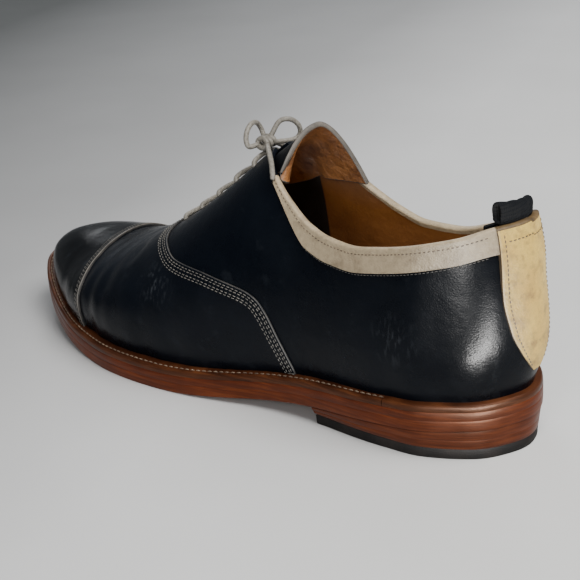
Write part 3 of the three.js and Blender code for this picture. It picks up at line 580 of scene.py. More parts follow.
def heel_level(inset, breast_inset, around=160, front=36):
    near, far = 2.0, 8.0
    ends = []
    for side in (1, -1):
        low, high = near, far
        for _ in range(40):
            middle = (low + high) / 2
            point = edge_inset(np.array([middle]), np.array([side]), np.array([inset]))[0][0]
            if point[0] < breast_x(point[1], breast_inset):
                low = middle
            else:
                high = middle
        ends.append(low)
    turns = np.linspace(-ends[1], ends[0], around)
    back = outline(turns, inset)
    across = np.linspace(back[-1, 1], back[0, 1], front)[1:-1]
    return np.concatenate([back, np.column_stack([breast_x(across, breast_inset), across])])


def heel_block(levels, height):
    rings = []
    for inset, breast_inset, up in levels:
        level = heel_level(inset, breast_inset)
        rings.append(np.column_stack([level, height(level[:, 0], up)]))
    wall = np.stack(rings, 1)
    points, quads = sheet(wall, closed_round=True)
    count, tall = wall.shape[:2]
    bottom = tuple(k * tall for k in range(count))
    top = tuple((count - 1 - k) * tall + tall - 1 for k in range(count))
    return points, [tuple(q) for q in quads] + [bottom, top]


def lift_height(x, share):
    low = TOP_PIECE + GAP
    return low + (underside(np.minimum(x, BREAST)) - LIFT_GAP - low) * share


lift_finish = stained_edge(
    "stacked heel leather", (0.045, 0.0095, 0.004), (0.098, 0.020, 0.0060), (0.19, 0.046, 0.012))
for i in range(LIFTS):
    low = i / LIFTS + (LIFT_SEAM if i else 0)
    high = (i + 1) / LIFTS - (LIFT_SEAM if i < LIFTS - 1 else 0)
    levels = []
    for share, pull in ((-0.062, 0.07), (0.0, 0), (0.5, 0), (1.0, 0), (1.062, 0.07)):
        level = low + (high - low) * share
        levels.append((HEEL_SET_IN + HEEL_FLARE * (1 - level) * 0.7 + pull, 0.5 * (1 - level) + pull, level))
    block = heel_block(levels, lift_height)
    piece(f"heel_lift_leather_{i + 1}", [(*block, lift_finish)],
          stands_for=[f"heel_lift_{i + 1}"], sharp=50)

heel_rubber, tree, shader, where = mottled(
    "heel rubber", (0.005, 0.004, 0.004), (0.022, 0.016, 0.014), 90, 0.42, 0.78, 0.65,
    Specular_IOR_Level=0.12)
pitted = add(tree, "TexNoise", {"Vector": where, "Scale": 1600, "Detail": 3})
bumped(tree, shader, pitted.outputs["Fac"], 0.0002)
foot_edge = HEEL_SET_IN + HEEL_FLARE
block = heel_block([
    (foot_edge + 0.3, 1.1, 0), (foot_edge, 0.8, 0.4),
    (HEEL_SET_IN + 0.85 * HEEL_FLARE, 0.8, TOP_PIECE - 0.4),
    (HEEL_SET_IN + 0.3 + 0.8 * HEEL_FLARE, 1.1, TOP_PIECE),
], lambda x, up: np.full_like(x, up))
piece("top_piece_rubber", [(*block, heel_rubber)], stands_for=["top_piece"], sharp=50)

# Insole
# A leather insole inside the welt, brown and polished by the foot, with a long sock on it.
INSOLE = 2.8
WALL = 2
insole_finish, tree, shader, where = mottled(
    "insole leather", (0.16, 0.065, 0.022), (0.30, 0.13, 0.04), 28, 0.35, 0.7)
pitted = add(tree, "TexNoise", {"Vector": where, "Scale": 900, "Detail": 4})
bumped(tree, shader, pitted.outputs["Fac"], 0.0002)


def insole_bed(x):
    return tuck(share_at(x)) * WELT_STANDS_OUT + STRIP_UNDER_UPPER + GAP


def insole_plate(x):
    return tuck(share_at(x)) * WELT_STANDS_OUT + WALL + GAP


parts = sole_layer([(insole_bed, WELT_FROM), (insole_bed, FOOT + INSOLE / 2)])
parts += sole_layer([(insole_plate, FOOT), (insole_plate, FOOT + INSOLE)])
piece("insole_sock", [(*part, insole_finish) for part in parts],
      stands_for=["insole"], sharp=50)

# Upper: quarters and vamp
# Black calf over a lasted form, lined, waxed and polished. The vamp lies over the quarters along a
# wing seam with four rows of grey thread, and shows soft creases where the foot bends.
BELLY_SHARE = 0.25
HEEL_ROW = 3
TOE_ROW = 16
VAMP_STEP = 1
THROAT_WIDTH = 10
THROAT_POINT = 1.6
FACING_TOP = 0.435
SLIT_TOP = 0.4
# share of the length, then the outer and inner side's height as shares of the instep height
TOPLINE = np.array([
    (0.000, 0.905, 0.905), (0.030, 0.902, 0.885), (0.070, 0.872, 0.820), (0.120, 0.840, 0.745),
    (0.180, 0.800, 0.700), (0.230, 0.778, 0.708), (0.270, 0.784, 0.756), (0.310, 0.812, 0.830),
    (0.350, 0.880, 0.905), (0.400, 0.985, 0.985), (FACING_TOP, 1.030, 1.030),
])
# share of the length, height as a share of the instep height
VAMP_SEAM = np.array([
    (0.330, 0.000), (0.334, 0.130), (0.345, 0.243), (0.361, 0.347), (0.378, 0.430), (0.395, 0.483),
    (0.416, 0.511), (0.457, 0.535), (0.501, 0.555), (0.553, 0.566), (0.590, 0.592), (0.617, 0.604),
    (0.637, 0.606), (0.648, 0.640),
])
# soft troughs across the vamp and at the heel's sides: from x, y to x, y, then depth and half width
CREASES = [
    (168, 30, 176, -22, 0.34, 3.2), (178, 40, 184, -14, 0.42, 3.6), (189, 44, 193, -6, 0.30, 3.0),
    (150, 44, 166, 26, 0.38, 5.0), (132, 47, 150, 36, 0.30, 6.0), (200, 34, 202, 6, 0.20, 3.0),
    (-6, 32, 14, 33, 0.25, 6.0), (60, 27, 84, 30, 0.25, 6.0),
]


def last_point(u, v):
    u, v = np.broadcast_arrays(np.asarray(u, float), np.asarray(v, float))
    v = np.where((u < 0) | (u > TIP), -v, v)
    u = np.where(u < 0, -u, np.where(u > TIP, 2 * TIP - u, u))
    side = np.where(v < 0, -1.0, 1.0)
    rise = 1 - np.abs(v)
    at = share_at(sole_edge(u, np.ones_like(u))[..., 0])
    point, outward = edge_inset(u, side, tuck(at) * WELT_STANDS_OUT)
    z = foot(point[..., 0])
    bulge = swell(at) * SWELL
    belly_z = z + belly(at) * INSTEP_HEIGHT
    share = np.clip(rise / BELLY_SHARE, 0, 1)
    out = bulge * np.sin(share * math.pi / 2)
    low = np.concatenate([point + outward * out[..., None], (z + (belly_z - z) * share)[..., None]], -1)
    ridge_at = np.clip(at, PLAN[HEEL_ROW, 0], PLAN[TOE_ROW, 0])
    ridge = np.stack([along_sole(ridge_at), lean(ridge_at) * BALL_WIDTH], -1)
    ridge_z = crest(ridge_at) * INSTEP_HEIGHT
    angle = np.clip((rise - BELLY_SHARE) / (1 - BELLY_SHARE), 0, 1) * math.pi / 2
    fullness = 2 / np.where(side > 0, full_outer(at), full_inner(at))
    out = np.maximum(np.cos(angle), 0) ** fullness
    up = np.maximum(np.sin(angle), 0) ** fullness
    widest = point + outward * bulge[..., None]
    high_z = belly_z + (ridge_z - belly_z) * up
    high = np.concatenate([ridge + (widest - ridge) * out[..., None], high_z[..., None]], -1)
    return np.where((rise < BELLY_SHARE)[..., None], low, high)


def last_normal(u, v):
    u, v = np.broadcast_arrays(np.asarray(u, float), np.asarray(v, float))
    row = np.where(np.abs(v) < 1e-6, np.clip(u, HEEL_ROW, TOE_ROW), u)
    along = last_point(row + 0.05, v) - last_point(row - 0.05, v)
    down = last_point(row, np.minimum(v + 0.02, 1)) - last_point(row, np.maximum(v - 0.02, -1))
    normal = np.cross(along, down)
    normal[..., 2] = np.where(np.abs(v) > 1 - 1e-6, 0, normal[..., 2])
    return normal / np.maximum(np.linalg.norm(normal, axis=-1, keepdims=True), 1e-9)


def relief(point):
    depth = np.zeros(point.shape[:-1])
    for x0, y0, x1, y1, deep, wide in CREASES:
        run = np.array([x1 - x0, y1 - y0], float)
        reach = run @ run
        share = ((point[..., :2] - (x0, y0)) @ run) / reach
        beside = point[..., :2] - (x0, y0) - np.clip(share, 0, 1)[..., None] * run
        off = np.linalg.norm(beside, axis=-1) / wide
        depth -= deep * np.exp(-off**2) - 0.5 * deep * np.exp(-((off - 2) ** 2))
    return depth


def over_last(u, v, offset):
    point = last_point(u, v)
    lift = np.asarray(offset, float) + relief(point)
    return point + last_normal(u, v) * lift[..., None]


topline_share = {1: smooth_line(TOPLINE[:, 0], TOPLINE[:, 1]), -1: smooth_line(TOPLINE[:, 0], TOPLINE[:, 2])}
vamp_seam = smooth_line(VAMP_SEAM[:, 0], VAMP_SEAM[:, 1])
throat_at = VAMP_SEAM[-1, 0]


def below_topline(point, side):
    at = share_at(point[..., 0])
    level = np.where(at > FACING_TOP, 9.0, topline_share[side](at)) * INSTEP_HEIGHT
    open_share = np.clip((at - SLIT_TOP) / (throat_at - SLIT_TOP), 0, 1)
    half = (THROAT_WIDTH + (THROAT_POINT - THROAT_WIDTH) * open_share) / 2
    half = np.where((at < SLIT_TOP) | (at > throat_at), 0, half)
    middle = lean(at) * BALL_WIDTH
    return (point[..., 2] < level) & (side * (point[..., 1] - middle) > half)


def solved(test, low, high):
    """The place between low and high where test turns from false to true."""
    low = np.array(low, float)
    high = np.array(high, float)
    for _ in range(36):
        middle = (low + high) / 2
        inside = test(middle)
        high = np.where(inside, middle, high)
        low = np.where(inside, low, middle)
    return high


def top_edge(u, side):
    u = np.where(np.abs(u) < 0.01, 0.01, u)
    return solved(lambda v: below_topline(last_point(u, side * v), side), np.zeros_like(u), np.ones_like(u))


def skin(u, start, end, side, offset, rows):
    share = np.linspace(0, 1, rows)[None]
    v = start[:, None] + (np.asarray(end, float).reshape(-1, 1) - start[:, None]) * share
    return over_last(u[:, None], side * v, offset)


def rolled_edge(u, edge, side, outer, inner, raise_by, steps=9, away=-1):
    """A rounded edge from one offset to another along a line of constant place on the last."""
    point = last_point(u, side * edge)
    normal = last_normal(u, side * edge)
    beyond = point - last_point(u, side * (edge - away * 0.01))
    beyond /= np.maximum(np.linalg.norm(beyond, axis=-1, keepdims=True), 1e-9)
    turn = np.linspace(0, math.pi, steps)
    offset = (outer + inner) / 2 + (outer - inner) / 2 * np.cos(turn) + relief(point)[:, None]
    up = raise_by * np.sin(turn)
    return point[:, None] + normal[:, None] * offset[..., None] + beyond[:, None] * up[None, :, None]


def beside(u, v, distance):
    """The line beside another on the last, the distance in mm, to the left of its run."""
    u = np.asarray(u, float).copy()
    v = np.asarray(v, float).copy()
    point = last_point(u, v)
    normal = last_normal(u, v)
    run = np.gradient(point, axis=0)
    run /= np.maximum(np.linalg.norm(run, axis=-1, keepdims=True), 1e-9)
    goal = point + np.cross(normal, run) * distance
    for _ in range(4):
        here = last_point(u, v)
        du = (last_point(u + 0.01, v) - here) / 0.01
        dv = (last_point(u, v + 0.004) - here) / 0.004
        gap = goal - here
        a = np.sum(du * du, -1)
        b = np.sum(du * dv, -1)
        c = np.sum(dv * dv, -1)
        p = np.sum(du * gap, -1)
        q = np.sum(dv * gap, -1)
        base = np.maximum(a * c - b * b, 1e-9)
        u += np.clip((c * p - b * q) / base, -0.6, 0.6)
        v += np.clip((a * q - b * p) / base, -0.2, 0.2)
    return u, v


# calf grain: fine closed cells with hair pores, finer than a step away shows
calf_grain, taken, given = effect("calf grain", [("Place", None), ("Cells", 900.0)], ["Height", "Pores"])
cells = add(calf_grain, "TexVoronoi", {"Vector": taken["Place"], "Scale": taken["Cells"]},
            feature="DISTANCE_TO_EDGE")
swirl = add(calf_grain, "TexNoise", {"Vector": taken["Place"], "Scale": 420, "Detail": 5})
both = add(calf_grain, "Math", {0: cells.outputs["Distance"], 1: swirl.outputs["Fac"]}, operation="ADD")
dots = add(calf_grain, "TexNoise", {"Vector": taken["Place"], "Scale": 2600, "Detail": 2})
calf_grain.links.new(both.outputs[0], given["Height"])
calf_grain.links.new(dots.outputs["Fac"], given["Pores"])

# scuff: short grey scratches fading out around one place; on the vamp they are a painted sheen
scuff_and_sheen_group, taken, given = effect("scuff", [("Place", None), ("At", None), ("Reach", 0.02)], ["Mask"])
away = add(scuff_and_sheen_group, "VectorMath", {0: taken["Place"], 1: taken["At"]}, operation="DISTANCE")
near = add(scuff_and_sheen_group, "MapRange", {
    "Value": away.outputs["Value"], "From Max": taken["Reach"], "To Min": 1, "To Max": 0})
slanted = add(scuff_and_sheen_group, "Mapping", {"Vector": taken["Place"], "Rotation": (0, 0.7, 0), "Scale": (1, 1, 0.3)})
scratch = add(scuff_and_sheen_group, "TexNoise", {"Vector": slanted.outputs[0], "Scale": 640, "Detail": 5})
cut = add(scuff_and_sheen_group, "MapRange", {"Value": scratch.outputs["Fac"], "From Min": 0.50, "From Max": 0.80})
both = add(scuff_and_sheen_group, "Math", {0: near.outputs[0], 1: cut.outputs[0]}, operation="MULTIPLY")
scuff_and_sheen_group.links.new(both.outputs[0], given["Mask"])


def black_calf(name, rough, gloss, scuff_and_sheen_place, dark, light, grain_depth):
    made, tree, shader = material(name, Specular_IOR_Level=gloss)
    where = add(tree, "TexCoord").outputs["Object"]
    grain = use(tree, calf_grain, {"Place": where})
    bloom = use(tree, patches, {"Place": where, "Scale": 26.0, "Low": 0.40, "High": 0.72})
    rub = use(tree, patches, {"Place": where, "Scale": 90.0, "Low": 0.58, "High": 0.80})
    tone = ramp(tree, bloom["Mask"], [(0, dark), (1, light)])
    handled = blend(tree, rub["Mask"], tone, (0.010, 0.013, 0.018, 1))
    # scratches on the quarters; on the vamp this lighter patch is a painted sheen
    scuff_and_sheen_mask = use(tree, scuff_and_sheen_group, {"Place": where, "At": scuff_and_sheen_place, "Reach": 0.013})
    color = blend(tree, scuff_and_sheen_mask["Mask"], handled, (0.050, 0.056, 0.066, 1))
    tree.links.new(color, shader.inputs["Base Color"])
    level = add(tree, "MapRange", {"Value": bloom["Mask"], "To Min": rough - 0.05, "To Max": rough + 0.09})
    dulled = add(tree, "Math", {0: rub["Mask"], 1: 0.12}, operation="MULTIPLY")
    total = add(tree, "Math", {0: level.outputs[0], 1: dulled.outputs[0]}, operation="ADD")
    tree.links.new(total.outputs[0], shader.inputs["Roughness"])
    wave = add(tree, "TexNoise", {"Vector": where, "Scale": 38, "Detail": 3})
    soft = bumped(tree, shader, wave.outputs["Fac"], 0.0007)
    fine = bumped(tree, shader, grain["Height"], grain_depth, before=soft)
    bumped(tree, shader, grain["Pores"], 0.00003, before=fine)
    return made


quarter_calf = black_calf(
    "black calf quarters", 0.30, 0.085, (0.0105, 0.0366, 0.0526),
    (0.0018, 0.0030, 0.0058), (0.0036, 0.0056, 0.0095), 0.00006)
# the vamp's patch at this place is a painted sheen, lighter streaks in place of a soft reflection
vamp_calf = black_calf(
    "black calf vamp", 0.31, 0.10, (0.1415, 0.0420, 0.0495),
    (0.0020, 0.0032, 0.0060), (0.0044, 0.0066, 0.0110), 0.00005)
raw_edge = mottled(
    "dressed leather edge", (0.010, 0.010, 0.011), (0.060, 0.054, 0.048), 150.0, 0.35, 0.7, 0.6)[0]

# painted shade: ahead of this line, in mm along the shoe, the lining is painted near black for the dark
# inside of the shoe
painted_shade_line = 88.0
tan_lining, tree, shader = material("tan lining leather", roughness=0.58)
where = add(tree, "TexCoord").outputs["Object"]
place = add(tree, "SeparateXYZ", {"Vector": where})
worn = use(tree, patches, {"Place": where, "Scale": 34.0, "Low": 0.36, "High": 0.70})
fibre = add(tree, "TexNoise", {"Vector": where, "Scale": 700, "Detail": 5})
# the tan is darker towards the bottom of the lining
low = add(tree, "MapRange", {"Value": place.outputs["Z"], "From Min": 0.03, "From Max": 0.085})
lighter_high_tan = ramp(tree, worn["Mask"], [(0, (0.25, 0.088, 0.015)), (1, (0.38, 0.150, 0.030))])
darker_low_tan = ramp(tree, worn["Mask"], [(0, (0.13, 0.055, 0.020)), (1, (0.25, 0.105, 0.034))])
# painted shade: the lining turns near black past the line
front = add(tree, "MapRange", {
    "Value": place.outputs["X"], "From Min": painted_shade_line / 1000, "From Max": painted_shade_line / 1000 + 0.0006})
tan = blend(tree, low.outputs[0], darker_low_tan, lighter_high_tan)
color = blend(tree, front.outputs[0], tan, (0.020, 0.015, 0.013, 1))
tree.links.new(color, shader.inputs["Base Color"])
fuzz = bumped(tree, shader, fibre.outputs["Fac"], 0.00015)
ruck = add(tree, "TexNoise", {"Vector": where, "Scale": 85, "Detail": 3})
bumped(tree, shader, ruck.outputs["Fac"], 0.0012, before=fuzz)

throat_row = row_at(0.662)
quarter_rows = np.concatenate([np.linspace(0, 3, 60), np.linspace(3, throat_row, 190)[1:]])
upper_parts = []
for side in (1, -1):
    edge = top_edge(quarter_rows, side)
    outside = skin(quarter_rows, edge, 1.0, side, 0, 70)
    hem = outside[:, -1:] - (0, 0, 0.7)
    upper_parts.append((*sheet(np.concatenate([outside, hem], 1)), quarter_calf))
    upper_parts.append((*sheet(rolled_edge(quarter_rows, edge, side, 0, -WALL, 0.7)), quarter_calf))
    upper_parts.append((*sheet(skin(quarter_rows, edge, 1.0, side, -WALL, 50)), tan_lining))

vamp_v = np.concatenate([-np.linspace(1, 0, 110), np.linspace(0, 1, 110)[1:]])


def ahead_of_seam(u, v):
    point = last_point(u, v)
    at = share_at(point[..., 0])
    return (point[..., 2] < vamp_seam(at) * INSTEP_HEIGHT) & (at > VAMP_SEAM[0, 0])


seam_u = solved(lambda u: ahead_of_seam(u, vamp_v), np.full_like(vamp_v, 5.0), np.full_like(vamp_v, 14.5))
share = np.linspace(0, 1, 150)[None]
vamp_u = seam_u[:, None] + (row_at(0.885) - seam_u[:, None]) * share
vamp_skin = over_last(vamp_u, vamp_v[:, None], VAMP_STEP)
upper_parts.append((*sheet(vamp_skin), vamp_calf))


def seam_edge(u, v, outer, inner, bulge, steps=7):
    """A rounded cut edge along a line on the last, standing out to the left of its run."""
    point = last_point(u, v)
    normal = last_normal(u, v)
    run = np.gradient(point, axis=0)
    run /= np.maximum(np.linalg.norm(run, axis=-1, keepdims=True), 1e-9)
    out = np.cross(normal, run)
    turn = np.linspace(0, math.pi, steps)
    offset = (outer + inner) / 2 + (outer - inner) / 2 * np.cos(turn)[None] + relief(point)[:, None]
    beyond = (bulge * np.sin(turn))[None, :, None]
    return point[:, None] + normal[:, None] * offset[..., None] + out[:, None] * beyond


upper_parts.append((*sheet(seam_edge(seam_u, vamp_v, VAMP_STEP, -0.1, 0.35)), raw_edge))
fore = np.linspace(throat_row, TIP, 140)
for side in (1, -1):
    upper_parts.append((*sheet(skin(fore, np.zeros_like(fore), 1.0, side, -WALL, 50)), tan_lining))
piece("upper_leather", upper_parts, stands_for=["upper"], sharp=60)

# Wing seam stitching
# Four rows of grey thread hold the vamp to the quarters, two close pairs, a little proud of the calf.
grey_thread = mottled(
    "grey waxed thread", (0.045, 0.042, 0.038), (0.18, 0.165, 0.142), 140.0, 0.30, 0.72, 0.6)[0]


def stitches_beside(u, v, distance, offset, length=1.7, step=2.25, radius=0.25, start=0.5):
    line_u, line_v = beside(u, v, distance)
    line = over_last(line_u, line_v, offset)
    return stitch_row(line, last_normal(line_u, line_v), length, step, radius, start=start)


parts = []
for k, distance in enumerate((1.1, 2.3, 4.0, 5.2)):
    kept = np.abs(vamp_v) > 0.03 + 0.012 * distance
    for half in (kept & (vamp_v > 0), kept & (vamp_v < 0)):
        row = stitches_beside(
            seam_u[half], vamp_v[half], -distance, VAMP_STEP + 0.02, start=0.5 + 0.25 * (k % 2))
        parts.append((*row, grey_thread))
piece("wing_seam_stitches", parts, weld=0)

# Toe cap
# A straight cap of the same calf over the vamp, polished to a shine, with a thin painted highlight along
# the top of its dark cut edge and two rows of stitches behind it.
CAP_THICKNESS = 1.2
CAP_UNDER = VAMP_STEP + GAP
CAP_TOP = CAP_UNDER + CAP_THICKNESS
# place across from the middle as a share of the ball width, then the share of the length
CAP_SEAM = np.array([
    (-0.600, 0.822), (-0.420, 0.830), (-0.320, 0.836), (-0.210, 0.834), (-0.110, 0.827), (0.000, 0.818),
    (0.090, 0.809), (0.180, 0.798), (0.260, 0.790), (0.320, 0.783), (0.380, 0.777), (0.550, 0.774),
])
cap_seam = smooth_line(CAP_SEAM[:, 0], CAP_SEAM[:, 1])
cap_calf = black_calf(
    "black calf cap", 0.19, 0.10, (0.24, 0.02, 0.02),
    (0.0018, 0.0022, 0.0030), (0.0030, 0.0038, 0.0048), 0.00004)


def ahead_of_cap(u, v):
    point = last_point(u, v)
    return share_at(point[..., 0]) > cap_seam(point[..., 1] / BALL_WIDTH)


cap_v = np.concatenate([-np.linspace(1, 0, 120), np.linspace(0, 1, 120)[1:]])
cap_u = solved(lambda u: ahead_of_cap(u, cap_v), np.full_like(cap_v, 12.0), np.full_like(cap_v, 18.0))
share = np.linspace(0, 1, 130)[None]
cap_skin = over_last(cap_u[:, None] + (TIP - cap_u[:, None]) * share, cap_v[:, None], CAP_TOP)
hem = np.array([0, 0, 0.6])
cap_skin = np.concatenate([cap_skin[:1] - hem, cap_skin, cap_skin[-1:] - hem])
cap_edge = seam_edge(cap_u, cap_v, CAP_TOP, VAMP_STEP - 0.1, 0.25, steps=10)
# pale edge colour: a painted highlight along the top of the cap's edge, and the greyed cut edge of the tongue
pale_edge_and_highlight = mottled(
    "pale edge and painted highlight", (0.05, 0.044, 0.038), (0.17, 0.15, 0.125), 130.0, 0.30, 0.68, 0.6)[0]
# the top four rows of the cap's rounded edge are painted pale as a highlight; the rest of the edge is dark
parts = [(*sheet(cap_skin), cap_calf), (*sheet(cap_edge[:, :4]), pale_edge_and_highlight)]
parts.append((*sheet(cap_edge[:, 3:]), raw_edge))
piece("toe_cap_leather", parts, stands_for=["toe_cap"], sharp=60)
parts = []
for k, distance in enumerate((1.3, 2.9)):
    row = stitches_beside(cap_u, cap_v, -distance, CAP_TOP, radius=0.16, start=0.5 + 0.25 * k)
    parts.append((*row, grey_thread))
piece("toe_cap_stitches", parts, weld=0)

# Collar bands
# Cream leather strips folded over the topline and sewn down with a row of dark stitches near the top
# and a fine one at the lower edge. They are soiled in patches.
BAND_WIDTH = 9
BAND_THICKNESS = 1.1
BAND_FRONT = 0.383
BAND_TAPER = 2.5
BAND_TOP = GAP + BAND_THICKNESS


def cream_leather(name, clean, worn, dirt, amount):
    made, tree, shader = material(name, Coat_Weight=0.05, Coat_Roughness=0.4)
    where = add(tree, "TexCoord").outputs["Object"]
    wide = use(tree, patches, {"Place": where, "Scale": 42.0, "Low": 0.34, "High": 0.72})
    spots = use(tree, patches, {"Place": where, "Scale": 150.0, "Low": 0.50, "High": amount})
    fine = use(tree, patches, {"Place": where, "Scale": 520.0, "Low": 0.35, "High": 0.80})
    base = ramp(tree, wide["Mask"], [(0, worn), (1, clean)])
    stained = blend(tree, spots["Mask"], base, (*dirt, 1))
    grey = ramp(tree, fine["Mask"], [(0, (1.05, 1.05, 1.05)), (1, (0.80, 0.78, 0.75))])
    tree.links.new(blend(tree, 1.0, stained, grey, "MULTIPLY"), shader.inputs["Base Color"])
    grain = use(tree, calf_grain, {"Place": where, "Cells": 800.0})
    level = add(tree, "MapRange", {"Value": wide["Mask"], "To Min": 0.62, "To Max": 0.46})
    tree.links.new(level.outputs[0], shader.inputs["Roughness"])
    first = bumped(tree, shader, grain["Height"], 0.00018)
    wave = add(tree, "TexNoise", {"Vector": where, "Scale": 130, "Detail": 4})
    bumped(tree, shader, wave.outputs["Fac"], 0.0006, before=first)
    return made


band_cream = cream_leather(
    "cream collar leather", (0.50, 0.40, 0.26), (0.36, 0.28, 0.175), (0.16, 0.11, 0.06), 0.86)
brown_thread = mottled(
    "brown thread", (0.035, 0.024, 0.016), (0.13, 0.085, 0.05), 160.0, 0.3, 0.7, 0.6)[0]


def band_bottom(u, side):
    def under(v):
        point = last_point(u, side * v)
        at = share_at(point[..., 0])
        run = np.clip((along_sole(BAND_FRONT) - point[..., 0]) / (BAND_TAPER * BAND_WIDTH), 0, 1)
        run = run * run * (3 - 2 * run)
        level = topline_share[side](at) * INSTEP_HEIGHT - BAND_WIDTH * (0.25 + 0.75 * run)
        return point[..., 2] < level
    return solved(under, np.zeros_like(u), np.ones_like(u))


band_rows = np.concatenate([np.linspace(0.01, 3, 60), np.linspace(3, row_at(BAND_FRONT), 120)[1:]])
for side, name in ((1, "outer"), (-1, "inner")):
    top = top_edge(band_rows, side)
    bottom = band_bottom(band_rows, side)
    face = skin(band_rows, top, bottom, side, BAND_TOP, 16)
    rim = rolled_edge(band_rows, top, side, BAND_TOP, -WALL - 0.25, 1.25, steps=13)
    foot_roll = rolled_edge(band_rows, bottom, side, BAND_TOP, 0, 0.4, away=1)
    inside = skin(band_rows, top, top + (bottom - top) * 0.16, side, -WALL - 0.25, 5)
    front_line = side * np.linspace(top[-1], bottom[-1], 16)
    front_cap = np.stack([face[-1], over_last(band_rows[-1:], front_line, 0)], 0)
    parts = [(*sheet(part), band_cream) for part in (face, rim, foot_roll, inside, front_cap)]
    piece(f"collar_band_leather_{name}", parts,
          stands_for=[f"collar_band_{name}"], sharp=70)
    past_strip = band_rows > 1.55
    line_u = band_rows[past_strip]
    rows = []
    for share, radius, step in ((0.20, 0.20, 1.9), (1.14, 0.15, 1.7)):
        line_v = side * (top + (bottom - top) * share)[past_strip]
        offset = BAND_TOP + 0.03 if share < 1 else 0.05
        line = over_last(line_u, line_v, offset)
        row = stitch_row(line, last_normal(line_u, line_v), 1.2, step, radius)
        rows.append((*row, brown_thread if share < 1 else grey_thread))
    piece(f"collar_band_stitches_{name}", rows, weld=0)

# Back strip
# A cream strip over the back seam, wide at the collar and running to a point at the rand, sewn down
# along its sides and across its top. It is yellowed and soiled more than the bands.
# height as a share of the instep height, then the half width as a share of the ball width
STRIP = np.array([
    (0.317, 0.004), (0.335, 0.022), (0.374, 0.055), (0.437, 0.098), (0.522, 0.132), (0.650, 0.149),
    (0.885, 0.134), (1.100, 0.130),
])
STRIP_TIP = 0.338
strip_half = smooth_line(STRIP[:, 0], STRIP[:, 1])
STRIP_TOP = BAND_TOP + 0.9
strip_cream = cream_leather(
    "cream strip leather", (0.86, 0.60, 0.135), (0.64, 0.39, 0.075), (0.26, 0.14, 0.04), 0.76)
strip_share = np.linspace(0, 1, 90)
strip_across = np.linspace(-1, 1, 41)


def strip_place(share, across):
    """Place on the last of a point of the strip, from its top (0) to its point (1)."""
    share, across = np.broadcast_arrays(share[:, None], across[None])
    low = solved(lambda v: last_point(np.zeros_like(v), v)[..., 2] < STRIP_TIP * INSTEP_HEIGHT,
                 np.zeros(1), np.ones(1))[0]
    u = np.zeros(share.shape)
    for _ in range(5):
        side = np.where(across < 0, -1, 1)
        outer, inner = [top_edge(u.ravel(), way).reshape(u.shape) for way in (1, -1)]
        high = np.where(side > 0, outer, inner)
        v = side * (high + (low - high) * share)
        half = strip_half(last_point(u, v)[..., 2] / INSTEP_HEIGHT) * BALL_WIDTH
        u = solved(lambda w: np.abs(last_point(w, v)[..., 1]) > np.abs(across) * half,
                   np.zeros(share.shape), np.full(share.shape, 4.0))
    return u, v


strip_u, strip_v = strip_place(strip_share, strip_across)
thinning = np.clip((strip_share - 0.12) / 0.22, 0, 1)
strip_lift = STRIP_TOP - (STRIP_TOP - 1.15) * thinning**2 * (3 - 2 * thinning)
strip_face = over_last(strip_u, strip_v, strip_lift[:, None])
strip_over = []
middle = (STRIP_TOP - WALL - 0.4) / 2
reach = (STRIP_TOP + WALL + 0.4) / 2
for angle in np.linspace(0, math.pi, 13):
    rim = over_last(strip_u[0], strip_v[0], middle + reach * math.cos(angle))
    strip_over.append(rim + np.array([0, 0, 1.0]) * 1.4 * math.sin(angle))
strip_inside = over_last(strip_u[:14], strip_v[:14], -WALL - 0.4)
sides = []
for column in (0, -1):
    edge = strip_u[:, column], strip_v[:, column]
    falling = [over_last(*edge, strip_lift * share) for share in (1.0, 0.9, 0.45, 0.0)]
    outward = np.array([0, -1.0 if column == 0 else 1.0, 0])
    falling = [line + outward * bulge for line, bulge in zip(falling, (0, 0.10, 0.14, 0.15))]
    sides.append(np.stack(falling, 1))
browned_edge = mottled(
    "browned cut edge", (0.05, 0.030, 0.012), (0.21, 0.13, 0.05), 110.0, 0.3, 0.7, 0.6)[0]
parts = [(*sheet(part), strip_cream) for part in (strip_face, strip_inside)]
parts += [(*sheet(part), browned_edge) for part in (np.stack(strip_over, 0), *sides)]
piece("back_strip_leather", parts, stands_for=["back_strip"], sharp=70)
rows = []
for edge_share in (-0.86, 0.86):
    along = np.linspace(0.02, 0.93, 120)
    line_u, line_v = strip_place(along, np.array([edge_share]))
    line = over_last(line_u[:, 0], line_v[:, 0], np.interp(along, strip_share, strip_lift) + 0.03)
    rows.append((*stitch_row(line, last_normal(line_u[:, 0], line_v[:, 0]), 1.4, 1.9, 0.24), brown_thread))
line_u, line_v = strip_place(np.array([0.055]), np.linspace(-0.8, 0.8, 60))
line = over_last(line_u[0], line_v[0], STRIP_TOP + 0.03)
rows.append((*stitch_row(line, last_normal(line_u[0], line_v[0]), 1.4, 1.9, 0.24), brown_thread))
piece("back_strip_stitches", rows, weld=0)

# Tongue
# Black calf lined with the same tan leather, skived thin, under the facings. It stands up behind the
# lacing with a round top, its lining wrinkled and its cut edge greyed.
TONGUE = 2.4
TONGUE_ARCH = 2.6
